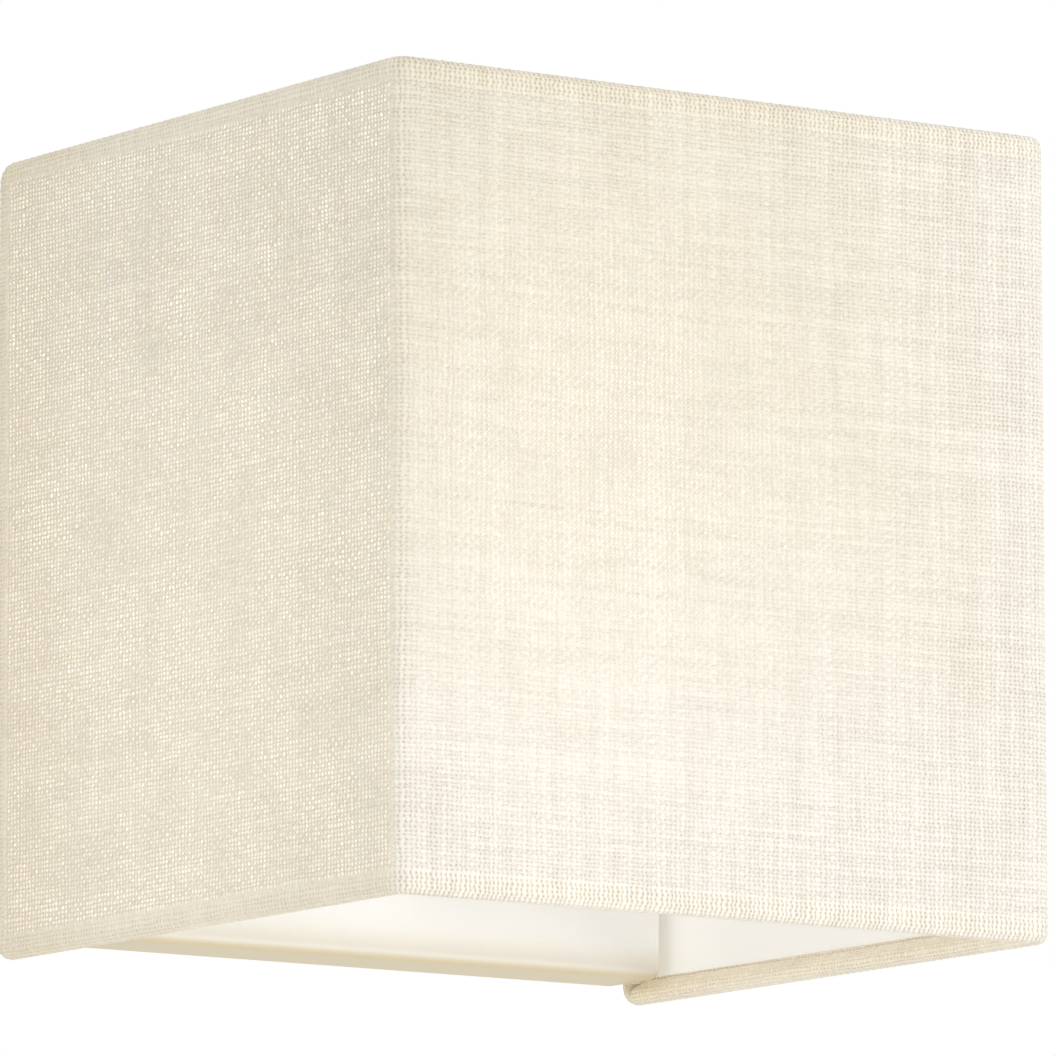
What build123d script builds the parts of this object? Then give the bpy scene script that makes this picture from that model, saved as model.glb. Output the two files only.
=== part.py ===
from build123d import *
import math
import os

# Wall light with a fabric shade, in millimetres. +Z is up, +X is to the right of someone who faces
# the light, and the wall is the plane Y = 0, so the light stands out towards -Y. The origin is on
# the wall, at the middle of the shade's width and height.

# Shade: cloth on a stiff liner, rolled round a wire along every free edge. Open above and below.
SHADE_WIDTH = 175.0
SHADE_HEIGHT = 180.0
SHADE_DEPTH = 160.0
CLOTH_THICKNESS = 0.6
LINER_THICKNESS = 0.4
GLUE_LINE = 0.05
HEM_WIRE_RADIUS = 1.5
WRAP_GAP = 0.05  # between the hem wire and the cloth round it
INSIDE_BEND = 0.5  # radius left on the inside of the rolled hem at a corner
RETURN_ANGLE = 125.0  # where the cloth leaves the wire, in degrees from the shade's outside
TURN_IN = 6.0  # height of the cloth turned in over the liner, from the shade's edge
LINER_EDGE_GAP = 0.3  # between the hem wire and the liner's edge
LAP_WIDTH = 37.0  # second layer of liner on the left, from the front corner
LAP_EDGE_GAP = 0.4
UPRIGHT_RADIUS = 1.0

# Back pan: a pressed steel tray, open towards the wall, between the two side panels.
PAN_HEIGHT = 170.8
PAN_DEPTH = 18.0
PAN_SHEET = 1.0
PAN_EDGE_RADIUS = 2.5
PAN_SIDE_GAP = 0.3

# Fitter bar of the shade, and the studs and thumb nuts that hold it on the pan.
BAR_SHEET = 1.2
BAR_HEIGHT = 15.0
BAR_Z = 30.0
BAR_BEND = 1.2  # inner radius of the bar's two bends
BAR_PAN_GAP = 0.1
SLIT_GAP = 0.5  # round the bar's ends, where they go through the turned-in cloth
STUD_INSET = 12.9  # from the pan's side
STUD_RADIUS = 2.0
STUD_LENGTH = 9.0
STUD_HEAD_RADIUS = 3.5
STUD_HEAD_HEIGHT = 0.8
STUD_HOLE_GAP = 0.05
SLOT_GAP = 0.3
WASHER_RADIUS = 4.5
WASHER_SHEET = 0.8
WASHER_GAP = 0.1
THUMB_NUT_RADIUS = 6.0
THUMB_NUT_HEIGHT = 4.0
THUMB_NUT_COLLAR_RADIUS = 4.0
THUMB_NUT_COLLAR_HEIGHT = 1.0
THREAD_GAP = 0.05
KNURLS = 24
KNURL_DEPTH = 0.35

# Wall strap and the screws that pull the pan onto it.
STRAP_LENGTH = 124.0
STRAP_HEIGHT = 20.0
STRAP_SHEET = 2.0
STRAP_Z = 0.0
WALL_SLOT_SPACING = 60.0
WALL_SLOT_LENGTH = 14.0
WALL_SLOT_RADIUS = 2.5
PAN_SCREW_X = 50.0
SCREW_RADIUS = 2.0
SCREW_HEAD_RADIUS = 4.0
SCREW_HEAD_HEIGHT = 2.4
SCREW_HOLE_GAP = 0.25
COLLAR_WALL = 1.5
COLLAR_HEIGHT = 2.0
NUT_ACROSS_FLATS = 7.0
NUT_HEIGHT = 3.2
SCREW_TIP = 1.0  # what a screw or stud shows past its nut

# Lampholder bracket.
BRACKET_WIDTH = 26.0
BRACKET_SHEET = 1.5
BRACKET_UPRIGHT = 44.0
BRACKET_BEND = 1.5
BRACKET_RISE = 19.4  # of its underside above the pan's lower edge
BRACKET_SCREW_X = 7.0
BRACKET_SCREW_RISE = 34.0  # from the bracket's underside up to its screws
BRACKET_NOSE = 15.0  # how far the bracket's foot goes on past the lamp's axis
BRACKET_CORNER = 4.0

# Porcelain lampholder for a 27 mm screw cap, upright on the bracket's foot.
LAMP_FROM_WALL = 62.0
HOLDER_BASE_RADIUS = 18.5
HOLDER_BASE_HEIGHT = 11.0
HOLDER_RADIUS = 19.5
HOLDER_HEIGHT = 38.0
HOLDER_FLOOR = 10.0
HOLDER_LEDGE = 3.0
HOLDER_LEDGE_RADIUS = 11.5
HOLDER_RIM_RADIUS = 1.5
HOLDER_SCREW_X = 11.0
HOLDER_SCREW_DEPTH = 6.5
SHELL_SHEET = 0.35
SHELL_HEIGHT = 23.0
SHELL_GAP = 0.1
CONTACT_SHEET = 0.4
CONTACT_RISE = 2.5
CONTACT_WIDTH = 5.0
CONTACT_REACH = 10.0

# Lamp: opal globe of the common 60 mm size with a screw cap.
CAP_RADIUS = 13.2
CAP_PLAY = 0.1  # between the cap and the holder's threaded shell
CAP_SHEET = 0.3
CAP_THREAD_DEPTH = 0.95  # rolled into the cap, so the plug inside is that much smaller
PLUG_GAP = 0.05
CAP_BOTTOM = 4.5
CAP_TOP = 26.0
CAP_TAPER = 4.0
TIP_RADIUS = 4.8
TIP_HEIGHT = 1.4
TIP_GAP = 0.3
GLOBE_RADIUS = 30.0
GLOBE_CENTRE = 78.0  # above the lamp's tip
GLOBE_WALL = 1.2
GLOBE_SEAT = 60.0  # where the globe meets the neck, above the tip
NECK_WAIST_RADIUS = 17.2
NECK_WAIST = 44.0
NECK_RIM = 3.2  # width of the rim round the board's recess
BOARD_SHEET = 1.6
BOARD_RECESS = 3.0
BOARD_EDGE_GAP = 0.2
BOARD_HOLE_RADIUS = 3.0  # for the board's own two wires

# Terminal block in the pan.
POLES = 3
POLE_PITCH = 9.0
BLOCK_LENGTH = 18.0
BLOCK_HEIGHT = 13.0
BLOCK_Z = -18.0
BLOCK_GROOVE = 1.0
TUBE_RISE = 7.5  # from the pan up to the axis of the brass tubes
TUBE_RADIUS = 2.2
TUBE_BORE = 1.45
TUBE_INSET = 2.0
TUBE_GAP = 0.05
CLAMP_RADIUS = 1.3
CLAMP_SPREAD = 4.0  # from the middle of a tube to each of its clamp screws
CLAMP_HEAD_RADIUS = 1.7
CLAMP_SINK = 0.8
SLOT_WIDTH = 0.6
SLOT_DEPTH = 0.6
BLOCK_SCREW_RADIUS = 1.2
BLOCK_SCREW_HEAD = 2.2
BLOCK_SCREW_HEAD_HEIGHT = 1.4

# Leads, grommet and earth.
LEAD_RADIUS = 1.0
CONDUCTOR_RADIUS = 0.6
CONDUCTOR_LENGTH = 6.5
LEAD_ENTRY = 1.0  # how far the sleeve goes into a terminal's mouth
LEAD_ENTRY_GAP = 0.2
LEAD_DROP = 8.0  # straight down from the block before a lead turns
LEAD_SPACING = 3.2  # between the two leads in the grommet
LEAD_REACH = 7.5  # straight out from the grommet
BEND_SHARE = 0.45  # share of the shorter run beside a bend that its arc takes up
HOLDER_LEAD_X = 6.0
HOLDER_LEAD_RISE = 5.0
HOLDER_LEAD_RUN = 8.5  # straight into the lampholder
GROMMET_RISE = 16.0  # above the bracket's underside
GROMMET_BORE = 3.2
GROMMET_NECK = 5.9
GROMMET_FLANGE = 7.5
GROMMET_FLANGE_HEIGHT = 1.5
GROMMET_GAP = 0.1
EARTH_X = 34.0
EARTH_Z = -44.0
EARTH_LEAD_STEP = 5.0  # sideways, on the way down from the block
RING_RADIUS = 4.5
RING_SHEET = 0.8
BARREL_RADIUS = 1.7
BARREL_STOP = 0.5  # metal left behind the conductor in the barrel

# Sizes that follow from those above.
half_width = SHADE_WIDTH / 2
half_height = SHADE_HEIGHT / 2
roll_inner = HEM_WIRE_RADIUS + WRAP_GAP
roll_outer = roll_inner + CLOTH_THICKNESS  # also from the shade's outside to the middle of the wire
hem_bend = roll_outer + INSIDE_BEND  # of the wire's middle, at every corner
corner_radius = hem_bend + roll_outer
wire_x = half_width - roll_outer
wire_z = half_height - roll_outer
wire_front = roll_outer - SHADE_DEPTH
wire_rear = -roll_outer
liner_inset = CLOTH_THICKNESS + GLUE_LINE
lap_inset = liner_inset + LINER_THICKNESS + GLUE_LINE
flap_face = roll_outer - lap_inset  # face of the turned-in cloth that lies on the liner

pan_half_width = wire_x - roll_outer - PAN_SIDE_GAP
pan_front = -PAN_DEPTH
stud_x = pan_half_width - STUD_INSET
pan_inside = PAN_SHEET - PAN_DEPTH

bar_back = pan_front - BAR_PAN_GAP
bar_front = bar_back - BAR_SHEET
washer_back = bar_front - WASHER_GAP
washer_front = washer_back - WASHER_SHEET
nut_back = washer_front - WASHER_GAP

lamp_y = -LAMP_FROM_WALL
bracket_bottom = BRACKET_RISE - PAN_HEIGHT / 2
foot_top = bracket_bottom + BRACKET_SHEET
bracket_face = pan_front - BRACKET_SHEET
holder_floor = foot_top + HOLDER_FLOOR
lamp_tip = holder_floor + CONTACT_RISE + CONTACT_SHEET + TIP_GAP
shell_inner = CAP_RADIUS + CAP_PLAY
shell_outer = shell_inner + SHELL_SHEET
holder_bore = shell_outer + SHELL_GAP
grommet_z = bracket_bottom + GROMMET_RISE

tube_y = pan_inside + TUBE_RISE
block_rear = pan_inside + BLOCK_HEIGHT
block_bottom = BLOCK_Z - BLOCK_LENGTH / 2
barrel_end = EARTH_X - RING_RADIUS
barrel_mouth = barrel_end - CONDUCTOR_LENGTH - BARREL_STOP
pole_x = [(pole - (POLES - 1) / 2) * POLE_PITCH for pole in range(POLES)]

RIGHT = Vector(1, 0, 0)
OUT = Vector(0, -1, 0)
UP = Vector(0, 0, 1)


# Simple forms that several pieces share.


def rod_y(x, z, radius, y_from, y_to):
    """A round bar along Y."""
    return Pos(x, (y_from + y_to) / 2, z) * Rot(90, 0, 0) * Cylinder(radius, abs(y_to - y_from))


def rod_z(x, y, radius, z_from, z_to):
    """A round bar along Z."""
    return Pos(x, y, (z_from + z_to) / 2) * Cylinder(radius, abs(z_to - z_from))


def block(x, y, z):
    """A box between two values on each axis."""
    size = [abs(pair[1] - pair[0]) for pair in (x, y, z)]
    middle = [(pair[0] + pair[1]) / 2 for pair in (x, y, z)]
    return Pos(*middle) * Box(*size)


def both_sides(shape):
    """The shape and its copy on the other side of the light."""
    return shape + mirror(shape, about=Plane.YZ)


def turned(points_and_arcs, x, y, z):
    """A solid of revolution about an upright axis, from edges given as radius and height."""
    return Pos(x, y, z) * revolve(Plane.XZ * make_face(points_and_arcs), Axis.Z)


# The shade's edge: one section, carried along the front and side hems, round the corners and up
# the rear edges. Its own axes run out of the shade (u) and from the edge into the panel (v).


def front_plane(x):
    return Plane((x, wire_front, -wire_z), x_dir=OUT, z_dir=-RIGHT)


def side_plane(y):
    return Plane((-wire_x, y, -wire_z), x_dir=-RIGHT, z_dir=-OUT)


def rear_plane(z):
    return Plane((-wire_x, wire_rear, z), x_dir=-RIGHT, z_dir=UP)


def round_the_edge(straight, bend):
    """Carries one section along the straight edges and another round the corners."""
    front_end = hem_bend - wire_x
    side_start = wire_front + hem_bend
    side_end = wire_rear - hem_bend
    rear_start = hem_bend - wire_z
    front_axis = Axis((front_end, side_start, 0), (0, 0, -1))
    rear_axis = Axis((0, side_end, rear_start), (1, 0, 0))
    quarter = extrude(front_plane(0) * straight, -front_end)
    quarter += revolve(front_plane(front_end) * bend, front_axis, revolution_arc=90)
    quarter += extrude(side_plane(side_start) * straight, side_end - side_start)
    quarter += revolve(side_plane(side_end) * bend, rear_axis, revolution_arc=90)
    quarter += extrude(rear_plane(rear_start) * straight, -rear_start)
    lower_half = both_sides(quarter)
    return lower_half + mirror(lower_half, about=Plane.XY)


def past_the_wire(radius, u):
    """Where cloth that leaves the wire at RETURN_ANGLE, straight on, reaches u."""
    angle = math.radians(RETURN_ANGLE)
    start = (radius * math.cos(angle), radius * math.sin(angle))
    run = (u - start[0]) / math.sin(angle)
    return (u, start[1] - run * math.cos(angle))


def rolled_hem():
    """Cloth round the wire, then across to the liner and up it."""
    flap_end = TURN_IN - roll_outer
    flap_back = flap_face - CLOTH_THICKNESS
    sweep_angle = RETURN_ANGLE - 360
    inner = CenterArc((0, 0), roll_inner, 0, sweep_angle)
    outer = CenterArc((0, 0), roll_outer, 0, sweep_angle)
    inner_flap = Polyline(inner @ 1, past_the_wire(roll_inner, flap_face), (flap_face, flap_end))
    outer_flap = Polyline(outer @ 1, past_the_wire(roll_outer, flap_back), (flap_back, flap_end))
    ends = [Line(inner_flap @ 1, outer_flap @ 1), Line(inner @ 0, outer @ 0)]
    return make_face([inner, outer, *inner_flap.edges(), *outer_flap.edges(), *ends])


def rolled_corner():
    """The same cloth where it is cut away at a corner: only the half round the wire."""
    inner = CenterArc((0, 0), roll_inner, 0, -180)
    outer = CenterArc((0, 0), roll_outer, 0, -180)
    return make_face([inner, outer, Line(inner @ 0, outer @ 0), Line(inner @ 1, outer @ 1)])


# Flat layers of the shade, bent round its two front corners.


def plan(inset, rear):
    """Plan of the shade at some depth behind the cloth's face, as far back as rear."""
    width = SHADE_WIDTH - 2 * inset
    depth = rear + SHADE_DEPTH - inset
    outline = Pos(0, rear - depth / 2) * Rectangle(width, depth)
    return fillet(outline.vertices().group_by(Axis.Y)[0], corner_radius - inset)


def layer(inset, thickness, edge, rear_radius):
    """A sheet inside the shade, that ends at edge from the wire's middle on every side."""
    rear = wire_rear - edge
    height = 2 * (wire_z - edge)
    sheet = extrude(plan(inset, rear) - plan(inset + thickness, rear + thickness), height / 2, both=True)
    length = rear + SHADE_DEPTH
    side = Pos(rear - length / 2, 0) * Rectangle(length, height)
    side = fillet(side.vertices().group_by(Axis.X)[-1], rear_radius)
    return sheet & extrude(Plane.YZ * side, half_width, both=True)


def make_shade_cloth():
    cloth = layer(0, CLOTH_THICKNESS, 0, hem_bend) + round_the_edge(rolled_hem(), rolled_corner())
    slit_half = BAR_HEIGHT / 2 + SLIT_GAP
    slit = block(
        (wire_x - roll_outer - SLIT_GAP, wire_x + flap_face + GLUE_LINE),
        (wire_rear, -TURN_IN - SLIT_GAP),
        (BAR_Z - slit_half, BAR_Z + slit_half),
    )
    return cloth - both_sides(slit)


def make_shade_liner():
    edge = HEM_WIRE_RADIUS + LINER_EDGE_GAP
    return layer(liner_inset, LINER_THICKNESS, edge, HEM_WIRE_RADIUS)


def make_liner_lap():
    lap_z = half_height - TURN_IN - LAP_EDGE_GAP
    lap_x = (lap_inset - half_width, lap_inset + LINER_THICKNESS - half_width)
    return block(lap_x, (corner_radius - SHADE_DEPTH, LAP_WIDTH - SHADE_DEPTH), (-lap_z, lap_z))


def make_hem_wire():
    round_wire = Circle(HEM_WIRE_RADIUS)
    return round_the_edge(round_wire, round_wire)


def make_front_uprights(hem_wire):
    """Two struts in the front corners, saddled onto the hem wire at both ends."""
    on_bend = hem_bend * (1 - math.sqrt(0.5))
    strut = rod_z(wire_x - on_bend, wire_front + on_bend, UPRIGHT_RADIUS, -wire_z, wire_z) - hem_wire
    return mirror(strut, about=Plane.YZ), strut


def make_fitter_bar(hem_wire):
    """Flat bar across the back of the shade, bent back at both ends and welded to the wire."""
    outside = wire_x + BAR_SHEET / 2
    length = wire_rear - bar_front
    outer = Pos(0, bar_front + length / 2) * Rectangle(2 * outside, length)
    outer = fillet(outer.vertices().group_by(Axis.Y)[0], BAR_BEND + BAR_SHEET)
    inner = Pos(0, bar_back + length / 2) * Rectangle(2 * (outside - BAR_SHEET), length)
    inner = fillet(inner.vertices().group_by(Axis.Y)[0], BAR_BEND)
    bar = Pos(0, 0, BAR_Z) * extrude(outer - inner, BAR_HEIGHT / 2, both=True)
    slot_radius = STUD_RADIUS + SLOT_GAP
    slot = rod_y(stud_x, BAR_Z, slot_radius, bar_back, bar_front)
    slot += block(
        (stud_x - slot_radius, stud_x + slot_radius),
        (bar_back, bar_front),
        (BAR_Z - BAR_HEIGHT / 2, BAR_Z),
    )
    return bar - both_sides(slot) - hem_wire


def make_thumb_washer(x):
    ring = rod_y(x, BAR_Z, WASHER_RADIUS, washer_back, washer_front)
    return ring - rod_y(x, BAR_Z, STUD_RADIUS + THREAD_GAP, washer_back, washer_front)


def make_thumb_nut(x):
    """Knurled head on a plain collar."""
    collar_front = nut_back - THUMB_NUT_COLLAR_HEIGHT
    nut_front = nut_back - THUMB_NUT_HEIGHT
    rim = []
    for step in range(2 * KNURLS):
        radius = THUMB_NUT_RADIUS - (step % 2) * KNURL_DEPTH
        angle = math.pi * step / KNURLS
        rim.append((radius * math.cos(angle), radius * math.sin(angle)))
    face = Plane((x, collar_front, BAR_Z), x_dir=RIGHT, z_dir=OUT)
    nut = extrude(face * make_face(Polyline(*rim, close=True)), collar_front - nut_front)
    nut += rod_y(x, BAR_Z, THUMB_NUT_COLLAR_RADIUS, nut_back, collar_front)
    return nut - rod_y(x, BAR_Z, STUD_RADIUS + THREAD_GAP, nut_back, nut_front)


# Pan, strap and their screws.


def tray(inset):
    """Solid block of the pan's outside, or of its inside when inset by the sheet."""
    radius = PAN_EDGE_RADIUS - inset
    outline = RectangleRounded(2 * (pan_half_width - inset), PAN_HEIGHT - 2 * inset, radius)
    solid = extrude(Plane.XZ * outline, PAN_DEPTH - inset)
    return fillet(solid.faces().sort_by(Axis.Y)[0].edges(), radius)


def make_back_pan():
    pan = tray(0) - tray(PAN_SHEET)
    holes = [
        (PAN_SCREW_X, STRAP_Z, SCREW_RADIUS + SCREW_HOLE_GAP),
        (stud_x, BAR_Z, STUD_RADIUS + STUD_HOLE_GAP),
        (BRACKET_SCREW_X, bracket_bottom + BRACKET_SCREW_RISE, SCREW_RADIUS + SCREW_HOLE_GAP),
        (POLE_PITCH / 2, BLOCK_Z, BLOCK_SCREW_RADIUS + THREAD_GAP),
    ]
    for x, z, radius in holes:
        pan -= both_sides(rod_y(x, z, radius, pan_inside, pan_front))
    return pan - rod_y(0, grommet_z, GROMMET_NECK + GROMMET_GAP, pan_inside, pan_front)


def make_wall_strap():
    """Flat strip with a slot for each wall screw and a drawn, tapped collar for each pan screw."""
    face = Pos(0, STRAP_Z) * RectangleRounded(STRAP_LENGTH, STRAP_HEIGHT, STRAP_SHEET)
    slot = SlotOverall(WALL_SLOT_LENGTH, 2 * WALL_SLOT_RADIUS)
    face -= Pos(WALL_SLOT_SPACING / 2, STRAP_Z) * slot
    face -= Pos(-WALL_SLOT_SPACING / 2, STRAP_Z) * slot
    strap = extrude(Plane.XZ * face, STRAP_SHEET)
    collar_front = -STRAP_SHEET - COLLAR_HEIGHT
    tapped = SCREW_RADIUS + THREAD_GAP
    strap += both_sides(rod_y(PAN_SCREW_X, STRAP_Z, tapped + COLLAR_WALL, -STRAP_SHEET, collar_front))
    return strap - both_sides(rod_y(PAN_SCREW_X, STRAP_Z, tapped, 0, collar_front))


def pan_head_screw(x, z, seat, tip):
    """A screw along Y, its domed head standing out from the seat, with a crossed recess."""
    head = rod_y(x, z, SCREW_HEAD_RADIUS, seat, seat - SCREW_HEAD_HEIGHT)
    head = fillet(head.faces().sort_by(Axis.Y)[0].edges(), SCREW_HEAD_HEIGHT / 2)
    reach = SCREW_HEAD_RADIUS / 2
    front = seat - SCREW_HEAD_HEIGHT
    depth = (front, front + SCREW_HEAD_HEIGHT / 2)
    wide = (-reach, reach)
    narrow = (-SLOT_WIDTH / 2, SLOT_WIDTH / 2)
    cross = block(wide, depth, narrow) + block(narrow, depth, wide)
    return head - Pos(x, 0, z) * cross + rod_y(x, z, SCREW_RADIUS, seat, tip)


def make_pan_screws():
    return pair(pan_head_screw(PAN_SCREW_X, STRAP_Z, pan_front, -STRAP_SHEET / 2))


def pair(solid):
    """Two separate solids, left and right."""
    return Compound([mirror(solid, about=Plane.YZ).solid(), solid.solid()])


def make_shade_studs():
    """Clinched into the pan: a low head inside it and a threaded end in front."""
    stud = rod_y(stud_x, BAR_Z, STUD_RADIUS, pan_inside, pan_front - STUD_LENGTH)
    head = rod_y(stud_x, BAR_Z, STUD_HEAD_RADIUS, pan_inside, pan_inside + STUD_HEAD_HEIGHT)
    return pair(stud + head)


# Lampholder and its bracket.


def make_holder_bracket():
    """Strip bent to an L: one leg on the pan, the other under the lampholder."""
    nose = lamp_y - BRACKET_NOSE
    top = bracket_bottom + BRACKET_UPRIGHT
    length = pan_front - nose
    side = Pos(pan_front - length / 2, (top + bracket_bottom) / 2) * Rectangle(length, BRACKET_UPRIGHT)
    outer_bend = BRACKET_BEND + BRACKET_SHEET
    side = fillet(side.vertices().group_by(Axis.X)[-1].group_by(Axis.Y)[0], outer_bend)
    cut_length = length - BRACKET_SHEET
    cut_height = BRACKET_UPRIGHT - BRACKET_SHEET
    cut = Pos(bracket_face - cut_length / 2, foot_top + cut_height / 2) * Rectangle(cut_length, cut_height)
    cut = fillet(cut.vertices().group_by(Axis.X)[-1].group_by(Axis.Y)[0], BRACKET_BEND)
    bracket = extrude(Plane.YZ * (side - cut), BRACKET_WIDTH / 2, both=True)
    free_ends = bracket.edges().filter_by(Axis.Y).group_by(Axis.Z)[-1]
    bracket = fillet(free_ends, BRACKET_CORNER)
    bracket = fillet(bracket.edges().filter_by(Axis.Z).group_by(Axis.Y)[0], BRACKET_CORNER)
    hole = SCREW_RADIUS + SCREW_HOLE_GAP
    screw_z = bracket_bottom + BRACKET_SCREW_RISE
    bracket -= both_sides(rod_y(BRACKET_SCREW_X, screw_z, hole, pan_front, bracket_face))
    bracket -= both_sides(rod_z(HOLDER_SCREW_X, lamp_y, hole, bracket_bottom, foot_top))
    return bracket - rod_y(0, grommet_z, GROMMET_FLANGE + GROMMET_GAP, pan_front, bracket_face)


def make_bracket_screws():
    tip = pan_inside + NUT_HEIGHT + SCREW_TIP
    screw_z = bracket_bottom + BRACKET_SCREW_RISE
    return pair(pan_head_screw(BRACKET_SCREW_X, screw_z, bracket_face, tip))


def hex_nut(x, z, seat):
    """A nut along Y that stands on the seat, towards the wall."""
    face = Plane((x, seat, z), x_dir=RIGHT, z_dir=-OUT)
    nut = extrude(face * RegularPolygon(NUT_ACROSS_FLATS / 2, 6, major_radius=False), NUT_HEIGHT)
    return nut - rod_y(x, z, SCREW_RADIUS + THREAD_GAP, seat, seat + NUT_HEIGHT)


def make_bracket_nuts():
    return pair(hex_nut(BRACKET_SCREW_X, bracket_bottom + BRACKET_SCREW_RISE, pan_inside))


def make_holder_body():
    """Glazed porcelain: a stepped bore, a waist above the base and a rounded rim."""
    shoulder = HOLDER_BASE_HEIGHT + (HOLDER_RADIUS - HOLDER_BASE_RADIUS)
    ledge = HOLDER_FLOOR + HOLDER_LEDGE
    profile = Polyline(
        (0, 0),
        (HOLDER_BASE_RADIUS, 0),
        (HOLDER_BASE_RADIUS, HOLDER_BASE_HEIGHT),
        (HOLDER_RADIUS, shoulder),
        (HOLDER_RADIUS, HOLDER_HEIGHT),
        (holder_bore, HOLDER_HEIGHT),
        (holder_bore, ledge),
        (HOLDER_LEDGE_RADIUS, ledge),
        (HOLDER_LEDGE_RADIUS, HOLDER_FLOOR),
        (0, HOLDER_FLOOR),
        close=True,
    )
    body = turned(profile, 0, lamp_y, foot_top)
    rim = body.edges().filter_by(GeomType.CIRCLE).group_by(Axis.Z)[-1].sort_by(SortBy.RADIUS)[-1]
    body = fillet(rim, HOLDER_RIM_RADIUS)
    screw_hole = SCREW_RADIUS + THREAD_GAP
    body -= both_sides(rod_z(HOLDER_SCREW_X, lamp_y, screw_hole, foot_top, foot_top + HOLDER_SCREW_DEPTH))
    lead_z = foot_top + HOLDER_LEAD_RISE
    mouth = LEAD_RADIUS + LEAD_ENTRY_GAP
    depth = holder_entry_y() - LEAD_ENTRY - CONDUCTOR_LENGTH - LEAD_ENTRY_GAP
    return body - both_sides(rod_y(HOLDER_LEAD_X, lead_z, mouth, lamp_y + HOLDER_BASE_RADIUS, depth))


def holder_entry_y():
    """Where a lead meets the round base of the lampholder."""
    return lamp_y + math.sqrt(HOLDER_BASE_RADIUS**2 - HOLDER_LEAD_X**2)


def make_holder_shell():
    """Pressed metal sleeve of the screw thread, with a lip that sits on the porcelain ledge."""
    lip = HOLDER_LEDGE_RADIUS
    profile = Polyline(
        (shell_inner, SHELL_SHEET),
        (shell_inner, SHELL_HEIGHT),
        (shell_outer, SHELL_HEIGHT),
        (shell_outer, 0),
        (lip, 0),
        (lip, SHELL_SHEET),
        close=True,
    )
    return turned(profile, 0, lamp_y, holder_floor + HOLDER_LEDGE)


def make_holder_contact():
    """Springy strip on the porcelain floor, raised under the lamp's tip."""
    foot_end = -CONTACT_RISE - TIP_RADIUS / 2
    top_start = -TIP_RADIUS / 2
    profile = Polyline(
        (-CONTACT_REACH, 0),
        (foot_end, 0),
        (top_start, CONTACT_RISE),
        (-top_start, CONTACT_RISE),
        (-top_start, CONTACT_RISE + CONTACT_SHEET),
        (top_start - CONTACT_SHEET / 2, CONTACT_RISE + CONTACT_SHEET),
        (foot_end - CONTACT_SHEET / 2, CONTACT_SHEET),
        (-CONTACT_REACH, CONTACT_SHEET),
        close=True,
    )
    strip = extrude(Plane.XZ * make_face(profile), CONTACT_WIDTH / 2, both=True)
    return Pos(0, lamp_y, holder_floor) * strip


def make_holder_screws():
    """Up through the bracket's foot into the porcelain."""
    bottom = bracket_bottom - SCREW_HEAD_HEIGHT
    tip = foot_top + HOLDER_SCREW_DEPTH - SCREW_TIP
    head = rod_z(HOLDER_SCREW_X, lamp_y, SCREW_HEAD_RADIUS, bottom, bracket_bottom)
    head = fillet(head.faces().sort_by(Axis.Z)[0].edges(), SCREW_HEAD_HEIGHT / 2)
    return pair(head + rod_z(HOLDER_SCREW_X, lamp_y, SCREW_RADIUS, bracket_bottom, tip))


# Lamp. Heights are from its tip.


def make_lamp_contact():
    return rod_z(0, lamp_y, TIP_RADIUS, lamp_tip, lamp_tip + TIP_HEIGHT)


def make_lamp_insulator():
    """Glass ring between the tip and the cap."""
    wide = CAP_RADIUS - CAP_TAPER
    profile = Polyline(
        (0, TIP_HEIGHT), (TIP_RADIUS, TIP_HEIGHT), (wide, CAP_BOTTOM), (0, CAP_BOTTOM), close=True
    )
    return turned(profile, 0, lamp_y, lamp_tip)


def make_lamp_cap():
    """Thin metal sleeve, drawn in towards the insulator."""
    wide = CAP_RADIUS - CAP_TAPER
    shoulder = CAP_BOTTOM + CAP_TAPER
    profile = Polyline(
        (0, CAP_BOTTOM),
        (wide, CAP_BOTTOM),
        (CAP_RADIUS, shoulder),
        (CAP_RADIUS, CAP_TOP),
        (CAP_RADIUS - CAP_SHEET, CAP_TOP),
        (CAP_RADIUS - CAP_SHEET, shoulder),
        (wide - CAP_SHEET, CAP_BOTTOM + CAP_SHEET),
        (0, CAP_BOTTOM + CAP_SHEET),
        close=True,
    )
    return turned(profile, 0, lamp_y, lamp_tip)


def globe_radius_at(height):
    return math.sqrt(GLOBE_RADIUS**2 - (height - GLOBE_CENTRE) ** 2)


def make_lamp_neck():
    """Moulded neck: a plug inside the cap, a flare up to the globe and a recess for the board."""
    seat = globe_radius_at(GLOBE_SEAT)
    plug = CAP_RADIUS - CAP_THREAD_DEPTH - CAP_SHEET - PLUG_GAP
    bottom = CAP_BOTTOM + CAP_TAPER
    lower = Polyline((0, GLOBE_SEAT), (0, bottom), (plug, bottom), (plug, CAP_TOP), (CAP_RADIUS, CAP_TOP))
    flare = Spline((CAP_RADIUS, CAP_TOP), (NECK_WAIST_RADIUS, NECK_WAIST), (seat, GLOBE_SEAT))
    rim = Line((seat, GLOBE_SEAT), (0, GLOBE_SEAT))
    neck = turned([*lower.edges(), flare, rim], 0, lamp_y, lamp_tip)
    top = lamp_tip + GLOBE_SEAT
    return neck - rod_z(0, lamp_y, seat - NECK_RIM, top - BOARD_RECESS, top)


def make_lamp_board():
    """Round metal board that lies in the neck's recess, with a hole for its wires."""
    radius = globe_radius_at(GLOBE_SEAT) - NECK_RIM - BOARD_EDGE_GAP
    bottom = lamp_tip + GLOBE_SEAT - BOARD_RECESS
    hole = rod_z(0, lamp_y, BOARD_HOLE_RADIUS, bottom, bottom + BOARD_SHEET)
    return rod_z(0, lamp_y, radius, bottom, bottom + BOARD_SHEET) - hole


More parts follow.
